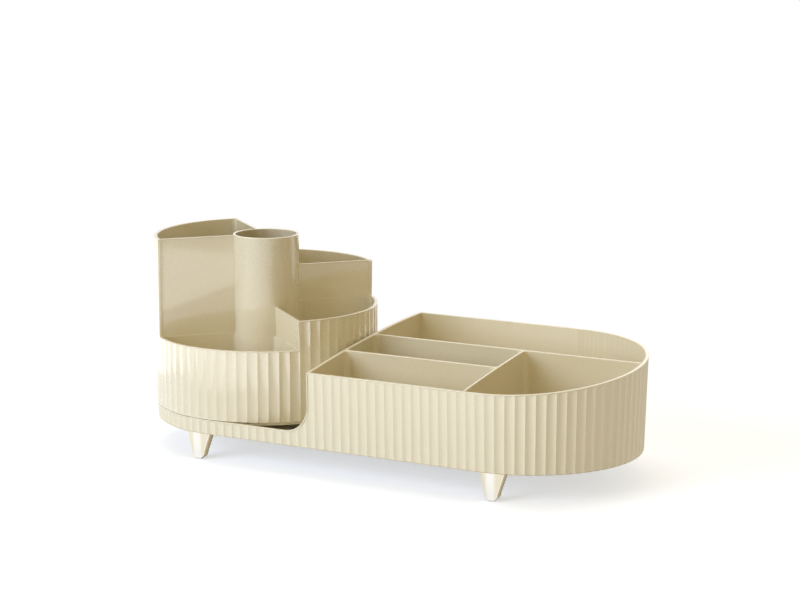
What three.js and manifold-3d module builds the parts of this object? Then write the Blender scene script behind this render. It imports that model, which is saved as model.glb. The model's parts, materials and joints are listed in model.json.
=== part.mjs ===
// A vanity organizer in millimetres, +Z up, standing on its feet at z = 0. A racetrack-shaped tray with a
// fluted wall carries a round caddy with four stepped compartments, which turns on a ball race.

import * as THREE from 'three';
import { mergeVertices } from 'three/addons/utils/BufferGeometryUtils.js';
import Module from 'manifold-3d';

const wasm = await Module();
wasm.setup();

// Tray: plan, heights and wall
const trayEndRadius = 80.3;
const trayCentreDistance = 212.6;
const trayStandHeight = 20.4;
const trayFrontHeight = 53.8;
const trayRearRise = 15.1;
const trayRampPower = 1.6;
const trayDraftShare = 0.029;
const trayWall = 2.2;
const trayFloor = 2.0;
const traySkirt = 1.2;
const trayDivider = 1.6;
const trayFluteDepth = 0.9;
const trayStraightFlutes = 31;
const trayEndFlutes = 37;
const trayEdgeChamfer = 0.7;
const pocketCorner = 4;

// Low lip round the caddy and the curved drop that leads to it
const lipHeight = 10.7;
const dropFillet = 19.5;
const caddySideClearance = 2.1;

// Tray compartments, measured on the floor
const frontBoxLength = 117.9;
const frontBoxDepth = 46.9;
const slotDepth = 40;

// Rim bead along every fluted wall
const rimBand = 0.8;
const rimProud = 0.1;

// Caddy
const caddyOutset = 0.6;
const caddyDraftShare = 0.0025;
const caddyWall = 2.2;
const caddyDivider = 1.6;
const caddyFloor = 2.6;
const caddyFluteDepth = 0.9;
const caddyFlutes = 67;
const caddyTurn = 48.9;
const cylinderRadius = 24;
const cylinderWall = 1.8;
const wellCorner = 3;
const lipClearance = 0.4;
const spigotDrop = 3;
const spigotClearance = 0.8;
const spigotWall = 2.1;
// Rim heights above the tray's stand height, anticlockwise from the rear compartment
const caddyHeights = [109.2, 133.3, 62.1, 82.85];

// Ball race between tray and caddy
const seatGap = 0.3;
const ballDiameter = 4;
const ballCount = 12;
const ballCircleRadius = 48;
const raceThickness = 2.2;
const raceLand = 4.5;
const raceEdge = 2.6;
const grooveDepth = 1.1;
const grooveHalfWidth = 2.4;
const cageThickness = 1.3;
const cageHalfWidth = 4.4;
const pocketClearance = 0.3;
const raceScrewCount = 4;

// Pivot at the caddy's centre
const bossRadius = 7;
const bushRadius = 4;
const bushBore = 2.2;
const bushFlangeRadius = 8.5;
const bushFlange = 1.4;
const bushClearance = 0.15;
const pivotShankRadius = 1.9;
const pivotHeadRadius = 4.2;
const pivotHeadHeight = 2.4;

// Countersunk screws
const raceScrewShankRadius = 1.1;
const raceScrewHeadRadius = 2.3;
const raceScrewHead = 1.2;
const raceScrewLength = 3.6;
const raceBossRadius = 4;
const footScrewShankRadius = 1.5;
const footScrewHeadRadius = 3.2;
const footScrewHead = 1.6;
const footScrewLength = 11;
const driveSlotWidth = 0.9;
const driveSlotDepth = 0.6;
const driveSlotShare = 0.72;
const screwClearance = 0.3;
const screwTipGap = 0.4;

// Feet
const footTopWidth = 19.8;
const footLowWidth = 10.6;
const footTopDepth = 9.4;
const footLowDepth = 6.2;
const footCrownRadius = 16;
const footFrontLean = 3;
const footInset = 8.5;
const footSpreadLeft = 12;
const footSpreadRight = 8.8;
const footTipTrim = 8;
const footBossRadius = 11.5;
const footSocketDepth = 9.5;
const padWidth = 5.2;
const padDepth = 3.4;
const padThickness = 0.9;

// Shared small values
const cutOverrun = 5;
const fluteFacets = 3;
const endFacets = 36;
const cornerFacets = 4;
const roundFacets = 40;
const raceFacets = 32;
const smallFacets = 14;
const screwFacets = 10;
const bushFacets = 24;
const pocketFacets = 10;
const ballSegments = 9;
const ballRings = 6;
const rampSteps = 12;

const rad = THREE.MathUtils.degToRad;
const rightAngle = 90;
const halfTurn = 180;
const fullTurn = 360;

// Worked out from the sizes above
const caddyRadius = trayEndRadius + caddyOutset;
const footLine = trayEndRadius - footInset;
const raceOuterRadius = ballCircleRadius + grooveHalfWidth + raceEdge;
const raceScrewCircleRadius = ballCircleRadius - grooveHalfWidth - raceLand - raceScrewHeadRadius;
const raceInnerRadius = raceScrewCircleRadius - raceScrewHeadRadius - raceEdge;
const trayFloorUnder = trayStandHeight + traySkirt;
const trayFloorTop = trayFloorUnder + trayFloor;
const trayRearTop = trayStandHeight + trayFrontHeight + trayRearRise;
const lipTop = trayStandHeight + lipHeight;
const dropX = caddyRadius + caddySideClearance;
const lowerRaceBottom = trayFloorTop + seatGap;
const lowerRaceTop = lowerRaceBottom + raceThickness;
const ballCentreZ = lowerRaceTop - grooveDepth + seatGap + ballDiameter / 2;
const upperRaceBottom = ballCentreZ + ballDiameter / 2 + seatGap - grooveDepth;
const upperRaceTop = upperRaceBottom + raceThickness;
const caddyFloorUnder = upperRaceTop + seatGap;
const caddyFloorTop = caddyFloorUnder + caddyFloor;
const caddyWallBottom = lipTop + lipClearance;
const spigotBottom = caddyWallBottom - spigotDrop;
const spigotRadius = trayEndRadius - trayWall - spigotClearance;
const caddyTops = caddyHeights.map((height) => trayStandHeight + height);
const caddyTallest = Math.max(...caddyTops);
const upperScrewTurn = caddyTurn + halfTurn / raceScrewCount;

// Geometry helpers

function polar(centreX, centreY, radius, degrees) {
  return new THREE.Vector2(centreX + radius * Math.cos(rad(degrees)), centreY + radius * Math.sin(rad(degrees)));
}

function arc(centreX, centreY, radius, from, to, facets) {
  const points = [];
  for (let i = 0; i <= facets; i++) {
    points.push(polar(centreX, centreY, radius, from + ((to - from) * i) / facets));
  }
  return points;
}

// Closed skin through rings of equal point count, each ring a list of 3-D points, with flat end caps
function loft(rings) {
  const count = rings[0].length;
  const positions = rings.flat().flatMap((point) => [point.x, point.y, point.z]);
  const index = [];
  for (let r = 0; r + 1 < rings.length; r++) {
    for (let i = 0; i < count; i++) {
      const a = r * count + i;
      const b = r * count + ((i + 1) % count);
      index.push(a, b, b + count, a, b + count, a + count);
    }
  }
  const last = (rings.length - 1) * count;
  const faces = THREE.ShapeUtils.triangulateShape(rings[0].map((p) => new THREE.Vector2(p.x, p.y)), []);
  const lid = THREE.ShapeUtils.triangulateShape(rings.at(-1).map((p) => new THREE.Vector2(p.x, p.y)), []);
  faces.forEach(([a, b, c]) => index.push(a, c, b));
  lid.forEach(([a, b, c]) => index.push(last + a, last + b, last + c));
  const geometry = new THREE.BufferGeometry();
  geometry.setAttribute('position', new THREE.Float32BufferAttribute(positions, 3));
  geometry.setIndex(index);
  return geometry;
}

function atHeight(outline, z) {
  return outline.map((point) => new THREE.Vector3(point.x, point.y, z));
}

// Upright block with the given outline
function block(outline, bottom, top) {
  const shape = new THREE.Shape(outline);
  const geometry = new THREE.ExtrudeGeometry(shape, { depth: top - bottom, bevelEnabled: false });
  return geometry.translate(0, 0, bottom);
}

function disc(radius, bottom, top, facets = roundFacets, x = 0, y = 0) {
  const geometry = new THREE.CylinderGeometry(radius, radius, top - bottom, facets);
  return geometry.rotateX(Math.PI / 2).translate(x, y, (top + bottom) / 2);
}

// Solid of revolution about z from a closed or axis-to-axis profile of [radius, z] pairs
function turned(profile, facets) {
  const points = profile.map(([radius, z]) => new THREE.Vector2(radius, z));
  return new THREE.LatheGeometry(points, facets).rotateX(Math.PI / 2);
}

// Profile in the X-Z plane carried along Y, or in the Y-Z plane carried along X
function carriedAlong(axis, profile, from, to) {
  const geometry = new THREE.ExtrudeGeometry(new THREE.Shape(profile), { depth: to - from, bevelEnabled: false });
  const x = new THREE.Vector3(1, 0, 0);
  const y = new THREE.Vector3(0, 1, 0);
  const z = new THREE.Vector3(0, 0, 1);
  const turn = new THREE.Matrix4();
  if (axis === 'x') {
    turn.makeBasis(y, z, x).setPosition(from, 0, 0);
  } else {
    turn.makeBasis(x, z, y.negate()).setPosition(0, to, 0);
  }
  return geometry.applyMatrix4(turn);
}

function solid(geometry) {
  const plain = geometry.clone();
  plain.deleteAttribute('normal');
  plain.deleteAttribute('uv');
  const merged = mergeVertices(plain);
  return new wasm.Manifold(new wasm.Mesh({
    numProp: 3,
    vertProperties: new Float32Array(merged.attributes.position.array),
    triVerts: new Uint32Array(merged.index.array),
  }));
}

function joined(...geometries) {
  return geometries.map(solid).reduce((whole, piece) => whole.add(piece));
}

function cut(body, ...geometries) {
  return geometries.map(solid).reduce((whole, piece) => whole.subtract(piece), body);
}

function toGeometry(body) {
  const { vertProperties, triVerts } = body.getMesh();
  const geometry = new THREE.BufferGeometry();
  geometry.setAttribute('position', new THREE.BufferAttribute(vertProperties, 3));
  geometry.setIndex(new THREE.BufferAttribute(triVerts, 1));
  const faceted = geometry.toNonIndexed();
  faceted.computeVertexNormals();
  return faceted;
}

// Materials

const cream = new THREE.MeshStandardMaterial({ color: 0xe9dfc8, roughness: 0.35, metalness: 0 });
const plated = new THREE.MeshStandardMaterial({ color: 0xd9c9a3, roughness: 0.15, metalness: 0.8 });
const steel = new THREE.MeshStandardMaterial({ color: 0xb8babd, roughness: 0.25, metalness: 1 });
const acetal = new THREE.MeshStandardMaterial({ color: 0xf2efe6, roughness: 0.4, metalness: 0 });
const rubber = new THREE.MeshStandardMaterial({ color: 0x4a4640, roughness: 0.8, metalness: 0 });

function piece(name, geometry, material) {
  const mesh = new THREE.Mesh(geometry, material);
  mesh.name = name;
  return mesh;
}

// Tray outlines

function trayRadiusAt(z) {
  return trayEndRadius + trayDraftShare * (z - trayStandHeight);
}

// Racetrack with a concave flute between ridges; a depth of 0 gives the smooth outline
function racetrack(radius, depth, straightSteps, endSteps, facets) {
  const points = [];
  const run = (steps, place) => {
    for (let i = 0; i < steps * facets; i++) {
      const across = (2 * (i % facets)) / facets - 1;
      points.push(place(i / (steps * facets), radius - depth * (1 - across * across)));
    }
  };
  run(straightSteps, (share, reach) => new THREE.Vector2(trayCentreDistance * share, -reach));
  run(endSteps, (share, reach) => polar(trayCentreDistance, 0, reach, halfTurn * share - rightAngle));
  run(straightSteps, (share, reach) => new THREE.Vector2(trayCentreDistance * (1 - share), reach));
  run(endSteps, (share, reach) => polar(0, 0, reach, halfTurn * share + rightAngle));
  return points;
}

function flutedRing(z, inset) {
  const radius = trayRadiusAt(z) - inset;
  return atHeight(racetrack(radius, trayFluteDepth, trayStraightFlutes, trayEndFlutes, fluteFacets), z);
}

function smoothRing(z, inset) {
  return atHeight(racetrack(trayRadiusAt(z) - inset, 0, 1, endFacets, 1), z);
}

// Height of the tray's rim over the ground: low in front, easing up to the rear
function rampAt(y) {
  const reach = trayEndRadius + trayDraftShare * (trayFrontHeight + trayRearRise);
  const share = THREE.MathUtils.clamp((y + reach) / (2 * reach), 0, 1);
  return trayStandHeight + trayFrontHeight + trayRearRise * (1 - (1 - share) ** trayRampPower);
}

function rampProfile(drop) {
  const reach = trayEndRadius + trayDraftShare * (trayFrontHeight + trayRearRise) + cutOverrun;
  const points = [];
  for (let i = 0; i <= rampSteps; i++) {
    const y = reach - (2 * reach * i) / rampSteps;
    points.push(new THREE.Vector2(y, rampAt(y) - drop));
  }
  return points;
}

// Lip top, concave fillet and upright edge of the drop, seen from the front, from left to right
function dropProfile(grow) {
  const centreX = dropX - dropFillet;
  const centreZ = lipTop + dropFillet;
  const left = new THREE.Vector2(-trayEndRadius - 2 * cutOverrun, lipTop - grow);
  const curve = arc(centreX, centreZ, dropFillet + grow, -rightAngle, 0, 2 * cornerFacets);
  const top = new THREE.Vector2(dropX + grow, trayRearTop + 2 * cutOverrun);
  return [left, ...curve, top];
}

function trayGeometry() {
  const reach = trayEndRadius + trayDraftShare * (trayFrontHeight + trayRearRise) + cutOverrun;
  const top = trayRearTop + cutOverrun;
  const right = trayCentreDistance + reach;
  const left = -reach;
  const fluted = loft([
    flutedRing(trayStandHeight, trayEdgeChamfer),
    flutedRing(trayStandHeight + trayEdgeChamfer, 0),
    flutedRing(top, 0),
  ]);
  const bead = loft([smoothRing(trayFloorTop, -rimProud), smoothRing(top, -rimProud)]);

  // Room above the rim, and the same room lowered by the bead's height
  const above = (drop) => carriedAlong('x', [
    new THREE.Vector2(-reach, top + cutOverrun),
    ...rampProfile(drop).reverse(),
    new THREE.Vector2(reach, top + cutOverrun),
  ].reverse(), left - cutOverrun, right);
  const overLip = (grow) => carriedAlong('y', [
    ...dropProfile(grow),
    new THREE.Vector2(-trayEndRadius - 2 * cutOverrun, trayRearTop + 2 * cutOverrun),
  ], -reach, reach);
  const beadRoom = joined(above(rimBand), overLip(rimBand));
  let body = solid(fluted).add(solid(bead).intersect(beadRoom));
  body = cut(body, above(0), overLip(0));

  // Compartments and the turntable well, all within the drafted inner wall
  const inner = solid(loft([smoothRing(trayFloorTop, trayWall), smoothRing(top, trayWall)]));
  const wallY = trayEndRadius - trayWall;
  const boxLeft = dropX + trayWall;
  const frontBack = -wallY + frontBoxDepth;
  const slotFront = frontBack + trayDivider;
  const slotBack = slotFront + slotDepth;
  const crossLeft = boxLeft + frontBoxLength;
  const crossRight = crossLeft + trayDivider;
  const well = (x0, x1, y0, y1) => solid(block(roundedBox(x0, x1, y0, y1, pocketCorner), trayFloorTop, top))
    .intersect(inner);
  const wells = [
    well(boxLeft, crossLeft, -reach, frontBack),
    well(boxLeft, crossLeft, slotFront, slotBack),
    well(crossRight, right, -reach, slotBack),
    well(boxLeft, right, slotBack + trayDivider, reach),
    well(left, dropX, -reach, reach),
  ];
  wells.forEach((room) => { body = body.subtract(room); });

  // Underside: a shallow recess, with bosses left standing for screws and feet
  const recess = loft([smoothRing(trayStandHeight - cutOverrun, trayWall), smoothRing(trayFloorUnder, trayWall)]);
  const bosses = [
    ...feetPlaces().map(({ x, y }) => disc(footBossRadius, trayStandHeight - cutOverrun, trayFloorUnder,
      roundFacets, x, y)),
    ...raceScrewPlaces(0).map(({ x, y }) => disc(raceBossRadius, trayStandHeight - cutOverrun,
      trayFloorUnder, smallFacets, x, y)),
    disc(bossRadius, trayStandHeight - cutOverrun, trayFloorUnder, smallFacets),
  ];
  body = body.subtract(cut(solid(recess), ...bosses));

  // Centre boss, and the holes for screws
  body = body.add(solid(disc(bossRadius, trayFloorTop - trayFloor, caddyFloorUnder - seatGap, smallFacets)));
  const pivotTip = trayFloorUnder + screwTipGap;
  body = cut(body, disc(pivotShankRadius + screwClearance, pivotTip, caddyFloorTop, smallFacets));
  const holes = raceScrewPlaces(0).map(({ x, y }) => disc(raceScrewShankRadius + screwClearance,
    lowerRaceTop - screwClearance - raceScrewLength - screwTipGap, top, screwFacets, x, y));
  const footHoles = feetPlaces().map(({ x, y }) => screwHole(footScrewShankRadius, footScrewHeadRadius,
    footScrewHead, trayStandHeight - cutOverrun, trayFloorTop).translate(x, y, 0));
  return toGeometry(cut(body, ...holes, ...footHoles));
}

// Rectangle with rounded corners, anticlockwise
function roundedBox(x0, x1, y0, y1, corner) {
  return [
    ...arc(x1 - corner, y0 + corner, corner, -rightAngle, 0, cornerFacets),
    ...arc(x1 - corner, y1 - corner, corner, 0, rightAngle, cornerFacets),
    ...arc(x0 + corner, y1 - corner, corner, rightAngle, halfTurn, cornerFacets),
    ...arc(x0 + corner, y0 + corner, corner, halfTurn, halfTurn + rightAngle, cornerFacets),
  ];
}

// Feet stand just past the ends of the straight sides, and face front and rear
function feetPlaces() {
  const left = -footSpreadLeft;
  const right = trayCentreDistance + footSpreadRight;
  return [
    { name: 'front_left', x: left, y: -footLine, facing: -rightAngle },
    { name: 'front_right', x: right, y: -footLine, facing: -rightAngle },
    { name: 'rear_right', x: right, y: footLine, facing: rightAngle },
    { name: 'rear_left', x: left, y: footLine, facing: rightAngle },
  ];
}

function raceScrewPlaces(turn) {
  const places = [];
  for (let i = 0; i < raceScrewCount; i++) {
    places.push(polar(0, 0, raceScrewCircleRadius, turn + (fullTurn * i) / raceScrewCount));
  }
  return places;
}

// Caddy

function caddyRadiusAt(z) {
  return caddyRadius + caddyDraftShare * (z - caddyWallBottom);
}

function flutedCircle(z) {
  const points = [];
  for (let i = 0; i < caddyFlutes * fluteFacets; i++) {
    const across = (2 * (i % fluteFacets)) / fluteFacets - 1;
    const reach = caddyRadiusAt(z) - caddyFluteDepth * (1 - across * across);
    points.push(polar(0, 0, reach, (fullTurn * i) / (caddyFlutes * fluteFacets) - rightAngle));
  }
  return atHeight(points, z);
}

// Quarter of the plan between two divider centre lines; each side is pushed in or out by a distance
function quarter(startSide, endSide, bottom, top) {
  const far = caddyRadius + 2 * cutOverrun;
  const outline = [
    new THREE.Vector2(endSide, startSide),
    new THREE.Vector2(far, startSide),
    new THREE.Vector2(far, far),
    new THREE.Vector2(endSide, far),
  ];
  return block(outline, bottom, top);
}

// Compartment between two dividers, the outer wall and the centre cylinder, with rounded corners
function wellOutline() {
  const side = caddyDivider / 2;
  const wallRadius = caddyRadius - caddyWall;
  const outerX = Math.sqrt((wallRadius - wellCorner) ** 2 - (side + wellCorner) ** 2);
  const innerX = Math.sqrt((cylinderRadius + wellCorner) ** 2 - (side + wellCorner) ** 2);
  const level = side + wellCorner;
  const outerTurn = THREE.MathUtils.radToDeg(Math.atan2(level, outerX));
  const innerTurn = THREE.MathUtils.radToDeg(Math.atan2(level, innerX));
  const wallFacets = Math.round(roundFacets / 3);
  return [
    ...arc(outerX, level, wellCorner, -rightAngle, outerTurn, cornerFacets),
    ...arc(0, 0, wallRadius, outerTurn, rightAngle - outerTurn, wallFacets).slice(1, -1),
    ...arc(level, outerX, wellCorner, rightAngle - outerTurn, halfTurn, cornerFacets),
    ...arc(level, innerX, wellCorner, halfTurn, halfTurn + rightAngle - innerTurn, cornerFacets),
    ...arc(0, 0, cylinderRadius, rightAngle - innerTurn, innerTurn, cornerFacets * 2).slice(1, -1),
    ...arc(innerX, level, wellCorner, halfTurn + innerTurn, halfTurn + rightAngle, cornerFacets),
  ];
}

function caddyGeometry() {
  const top = caddyTallest + cutOverrun;
  const shell = solid(loft([flutedCircle(caddyWallBottom), flutedCircle(top)]));
  const smooth = solid(turned([
    [0, caddyWallBottom], [caddyRadiusAt(caddyWallBottom) + rimProud, caddyWallBottom],
    [caddyRadiusAt(top) + rimProud, top], [0, top],
  ], caddyFlutes));
  const cylinder = solid(disc(cylinderRadius, spigotBottom, top + cutOverrun));
  const side = caddyDivider / 2;
  let body = shell;
  const rooms = [];
  caddyTops.forEach((rim, i) => {
    const before = caddyTops[(i + 3) % 4];
    const after = caddyTops[(i + 1) % 4];
    const startSide = before > rim ? side : -side;
    const endSide = after > rim ? side : -side;
    const room = (grow) => solid(quarter(startSide - grow, endSide - grow, rim - grow, top + cutOverrun)
      .rotateZ(rad(rightAngle * i)));
    body = body.add(smooth.intersect(room(rimBand)));
    rooms.push(room(0));
  });

  // The lower rims are cut down after all beads are on, and the centre cylinder keeps its height
  rooms.forEach((room) => { body = body.subtract(room.subtract(cylinder)); });
  body = body.add(solid(disc(spigotRadius, spigotBottom, caddyWallBottom + caddyFloor, caddyFlutes)));
  caddyTops.forEach((rim, i) => {
    body = body.subtract(solid(block(wellOutline(), caddyFloorTop, top).rotateZ(rad(rightAngle * i))));
  });
  body = cut(body,
    quarterCap(top),
    disc(cylinderRadius - cylinderWall, caddyFloorTop, top + cutOverrun),
    disc(spigotRadius - spigotWall, spigotBottom - cutOverrun, caddyFloorUnder, caddyFlutes),
    disc(bushRadius + bushClearance, spigotBottom, caddyFloorTop + cutOverrun, bushFacets));
  const holes = raceScrewPlaces(upperScrewTurn - caddyTurn).map(({ x, y }) => disc(
    raceScrewShankRadius + screwClearance, caddyFloorUnder - cutOverrun,
    upperRaceBottom + screwClearance + raceScrewLength + screwTipGap, screwFacets, x, y));
  body = cut(body, ...holes);
  return toGeometry(body).rotateZ(rad(caddyTurn));
}

// Everything above the tallest rim
function quarterCap(top) {
  return disc(caddyRadius + cutOverrun, caddyTallest, top + 2 * cutOverrun);
}

// Ball race

function raceProfile(bottom, grooveUp) {
  const top = bottom + raceThickness;
  const face = grooveUp ? top : bottom;
  const deep = grooveUp ? top - grooveDepth : bottom + grooveDepth;
  const groove = [
    [ballCircleRadius + grooveHalfWidth, face],
    [ballCircleRadius + grooveHalfWidth / 2, deep],
    [ballCircleRadius - grooveHalfWidth / 2, deep],
    [ballCircleRadius - grooveHalfWidth, face],
  ];
  const profile = grooveUp
    ? [[raceInnerRadius, bottom], [raceOuterRadius, bottom], [raceOuterRadius, top], ...groove,
      [raceInnerRadius, top], [raceInnerRadius, bottom]]
    : [[raceInnerRadius, bottom], ...groove.reverse(), [raceOuterRadius, bottom], [raceOuterRadius, top],
      [raceInnerRadius, top], [raceInnerRadius, bottom]];
  return turned(profile, raceFacets);
}

// Straight hole with a conical seat at its upper end
function screwHole(shank, head, headHeight, bottom, top) {
  const radius = shank + screwClearance;
  const seat = head + screwClearance;
  return turned([
    [0, bottom], [radius, bottom], [radius, top - headHeight - screwClearance], [seat, top - screwClearance],
    [seat, top + cutOverrun], [0, top + cutOverrun],
  ], screwFacets);
}

// Countersunk screw, its flat head uppermost at the given height, with a slot for the driver
function screw(shank, head, headHeight, length, top) {
  const body = solid(turned([
    [0, top - length], [shank / 2, top - length], [shank, top - length + shank],
    [shank, top - headHeight], [head, top], [0, top],
  ], screwFacets));
  const slot = new THREE.BoxGeometry(2 * head * driveSlotShare, driveSlotWidth, 2 * driveSlotDepth);
  return toGeometry(cut(body, slot.translate(0, 0, top)));
}

function raceGeometry(bottom, grooveUp, turn) {
  const seat = grooveUp ? bottom + raceThickness : bottom;
  const holes = raceScrewPlaces(turn).map(({ x, y }) => {
    const hole = screwHole(raceScrewShankRadius, raceScrewHeadRadius, raceScrewHead, -raceThickness - cutOverrun, 0);
    return (grooveUp ? hole : hole.rotateX(Math.PI)).translate(x, y, seat);
  });
  return toGeometry(cut(solid(raceProfile(bottom, grooveUp)), ...holes));
}

function ballPlaces() {
  const places = [];
  for (let i = 0; i < ballCount; i++) {
    places.push(polar(0, 0, ballCircleRadius, (fullTurn * (i + 0.5)) / ballCount));
  }
  return places;
}

function cageGeometry() {
  const bottom = ballCentreZ - cageThickness / 2;
  const top = ballCentreZ + cageThickness / 2;
  const inside = ballCircleRadius - cageHalfWidth;
  const outside = ballCircleRadius + cageHalfWidth;
  const ring = turned([[inside, bottom], [outside, bottom], [outside, top], [inside, top], [inside, bottom]],
    raceFacets);
  const pockets = ballPlaces().map(({ x, y }) => disc(ballDiameter / 2 + pocketClearance,
    bottom - cutOverrun, top + cutOverrun, pocketFacets, x, y));
  return toGeometry(cut(solid(ring), ...pockets));
}

// Pivot

function bushGeometry() {
  const bottom = caddyFloorUnder;
  const flangeBottom = caddyFloorTop + seatGap;
  const flangeTop = flangeBottom + bushFlange;
  return turned([
    [bushBore, bottom], [bushRadius, bottom], [bushRadius, flangeBottom], [bushFlangeRadius, flangeBottom],
    [bushFlangeRadius, flangeTop], [bushBore, flangeTop], [bushBore, bottom],
  ], bushFacets);
}

function pivotScrewGeometry() {
  const headBottom = caddyFloorTop + seatGap + bushFlange + seatGap;
  const headTop = headBottom + pivotHeadHeight;
  const tip = trayFloorUnder + 2 * screwTipGap;
  const body = solid(turned([
    [0, tip], [pivotShankRadius / 2, tip], [pivotShankRadius, tip + pivotShankRadius],
    [pivotShankRadius, headBottom], [pivotHeadRadius, headBottom], [pivotHeadRadius, headTop - pivotHeadHeight / 2],
    [(3 * pivotHeadRadius) / 4, headTop - pivotHeadHeight / 8], [pivotHeadRadius / 3, headTop], [0, headTop],
  ], smallFacets));
  const arm = 2 * pivotHeadRadius * driveSlotShare;
  const slot = (x, y) => new THREE.BoxGeometry(x, y, 3 * driveSlotDepth).translate(0, 0, headTop);
  return toGeometry(cut(body, slot(arm, driveSlotWidth), slot(driveSlotWidth, arm)));
}

// Foot: a U-shaped tongue seen from outside, tapered in depth, with a crowned front face.
// It is modelled facing +X with its centre line on z and then turned to face outwards.
function footGeometry() {
  const top = trayStandHeight - seatGap;
  const bottom = padThickness + seatGap;
  const tipRadius = footLowWidth / 2;
  const low = arc(0, tipRadius, tipRadius, halfTurn + footTipTrim, fullTurn - footTipTrim, 3 * cornerFacets)
    .filter((point) => point.y > bottom);
  const flat = Math.sqrt(tipRadius ** 2 - (tipRadius - bottom) ** 2);
  const leftSide = low.filter((point) => point.x < 0);
  const rightSide = low.filter((point) => point.x > 0);
  const front = [
    new THREE.Vector2(-footTopWidth / 2, top), ...leftSide, new THREE.Vector2(-flat, bottom),
    new THREE.Vector2(flat, bottom), ...rightSide, new THREE.Vector2(footTopWidth / 2, top),
  ];
  const lean = top * Math.tan(rad(footFrontLean));
  const faceX = footTopDepth / 2;
  const side = [
    new THREE.Vector2(faceX, top), new THREE.Vector2(faceX - footTopDepth, top),
    new THREE.Vector2(faceX - lean - footLowDepth, 0), new THREE.Vector2(faceX - lean, 0),
  ];
  const reach = footTopWidth;
  const facing = carriedAlong('x', front, -reach, reach);
  const depth = carriedAlong('y', side, -reach, reach);
  const crown = new THREE.CylinderGeometry(footCrownRadius, footCrownRadius, 2 * top, roundFacets)
    .rotateX(Math.PI / 2).rotateY(-rad(footFrontLean))
    .translate(faceX - footCrownRadius - lean / 2, 0, top / 2);
  let body = solid(facing).intersect(solid(depth)).intersect(solid(crown));
  body = cut(body, disc(footScrewShankRadius + screwClearance, top - footSocketDepth, top + cutOverrun, smallFacets));
  return toGeometry(body);
}

function padGeometry() {
  const outline = arc(0, 0, 1, 0, fullTurn, smallFacets).slice(0, -1)
    .map((point) => new THREE.Vector2((point.x * padDepth) / 2, (point.y * padWidth) / 2));
  return block(outline, 0, padThickness);
}

// Assembly: the caddy's axis is x = 0 here, and the whole is centred over its own outline at the end

const organizer = new THREE.Group();
organizer.add(piece('tray', trayGeometry(), cream));
organizer.add(piece('caddy', caddyGeometry(), cream));
organizer.add(piece('lower_race', raceGeometry(lowerRaceBottom, true, 0), acetal));
organizer.add(piece('upper_race', raceGeometry(upperRaceBottom, false, upperScrewTurn), acetal));
organizer.add(piece('ball_cage', cageGeometry(), acetal));
organizer.add(piece('pivot_bush', bushGeometry(), acetal));
organizer.add(piece('pivot_screw', pivotScrewGeometry(), steel));

ballPlaces().forEach(({ x, y }, i) => {
  const ball = piece(`ball_${i + 1}`, new THREE.SphereGeometry(ballDiameter / 2, ballSegments, ballRings), steel);
  ball.position.set(x, y, ballCentreZ);
  organizer.add(ball);
});

raceScrewPlaces(0).forEach(({ x, y }, i) => {
  const fixing = piece(`lower_race_screw_${i + 1}`, screw(raceScrewShankRadius, raceScrewHeadRadius,
    raceScrewHead, raceScrewLength, 0), steel);
  fixing.position.set(x, y, lowerRaceTop - screwClearance);
  organizer.add(fixing);
});

raceScrewPlaces(upperScrewTurn).forEach(({ x, y }, i) => {
  const fixing = piece(`upper_race_screw_${i + 1}`, screw(raceScrewShankRadius, raceScrewHeadRadius,
    raceScrewHead, raceScrewLength, 0), steel);
  fixing.position.set(x, y, upperRaceBottom + screwClearance);
  fixing.rotation.x = Math.PI;
  organizer.add(fixing);
});

feetPlaces().forEach(({ name, x, y, facing }) => {
  const foot = piece(`foot_${name}`, footGeometry(), plated);
  const pad = piece(`foot_pad_${name}`, padGeometry(), rubber);
  const fixing = piece(`foot_screw_${name}`, screw(footScrewShankRadius, footScrewHeadRadius, footScrewHead,
    footScrewLength, 0), steel);
  [foot, pad, fixing].forEach((mesh) => {
    mesh.position.set(x, y, 0);
    mesh.rotation.z = rad(facing);
    organizer.add(mesh);
  });
  fixing.position.z = trayFloorTop - screwClearance;
});

const extent = new THREE.Box3().setFromObject(organizer);
const middle = extent.getCenter(new THREE.Vector3());
organizer.position.set(-middle.x, -middle.y, 0);
organizer.updateMatrixWorld(true);

export default organizer;
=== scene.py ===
"""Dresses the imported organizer: a fluted tray with compartments and a round caddy that turns on balls."""

import json
import logging
import math
from dataclasses import dataclass
from enum import Enum
from typing import Callable, Iterable, Sequence

import bmesh
import bpy
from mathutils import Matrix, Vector


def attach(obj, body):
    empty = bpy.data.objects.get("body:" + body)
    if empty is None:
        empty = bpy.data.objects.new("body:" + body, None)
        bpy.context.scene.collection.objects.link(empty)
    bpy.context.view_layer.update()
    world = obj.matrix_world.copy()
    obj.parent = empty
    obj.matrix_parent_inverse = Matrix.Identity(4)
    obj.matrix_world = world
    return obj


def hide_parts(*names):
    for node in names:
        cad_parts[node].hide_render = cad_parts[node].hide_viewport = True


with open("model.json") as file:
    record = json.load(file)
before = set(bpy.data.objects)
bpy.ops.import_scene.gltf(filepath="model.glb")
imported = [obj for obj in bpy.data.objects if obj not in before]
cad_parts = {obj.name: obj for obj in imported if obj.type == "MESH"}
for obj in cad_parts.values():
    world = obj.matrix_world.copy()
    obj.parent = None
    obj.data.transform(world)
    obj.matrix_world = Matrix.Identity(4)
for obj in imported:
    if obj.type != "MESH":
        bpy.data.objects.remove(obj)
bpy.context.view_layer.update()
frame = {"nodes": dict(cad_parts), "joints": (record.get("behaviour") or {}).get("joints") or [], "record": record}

LOG = logging.getLogger("organizer")
MM = 0.001
CUT_OVERRUN = 5 * MM
SHORT_OVERRUN = 1 * MM
BEAD_INSIDE = 0.04 * MM
BEAD_EDGE_SHARE = 0.36
THREAD_CORE_SHARE = 0.86
CORNER_SHARE = 0.45
FILLET_STEPS = 5
STRAIGHT_COSINE = -0.999
MERGE_DISTANCE = 1e-7
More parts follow.
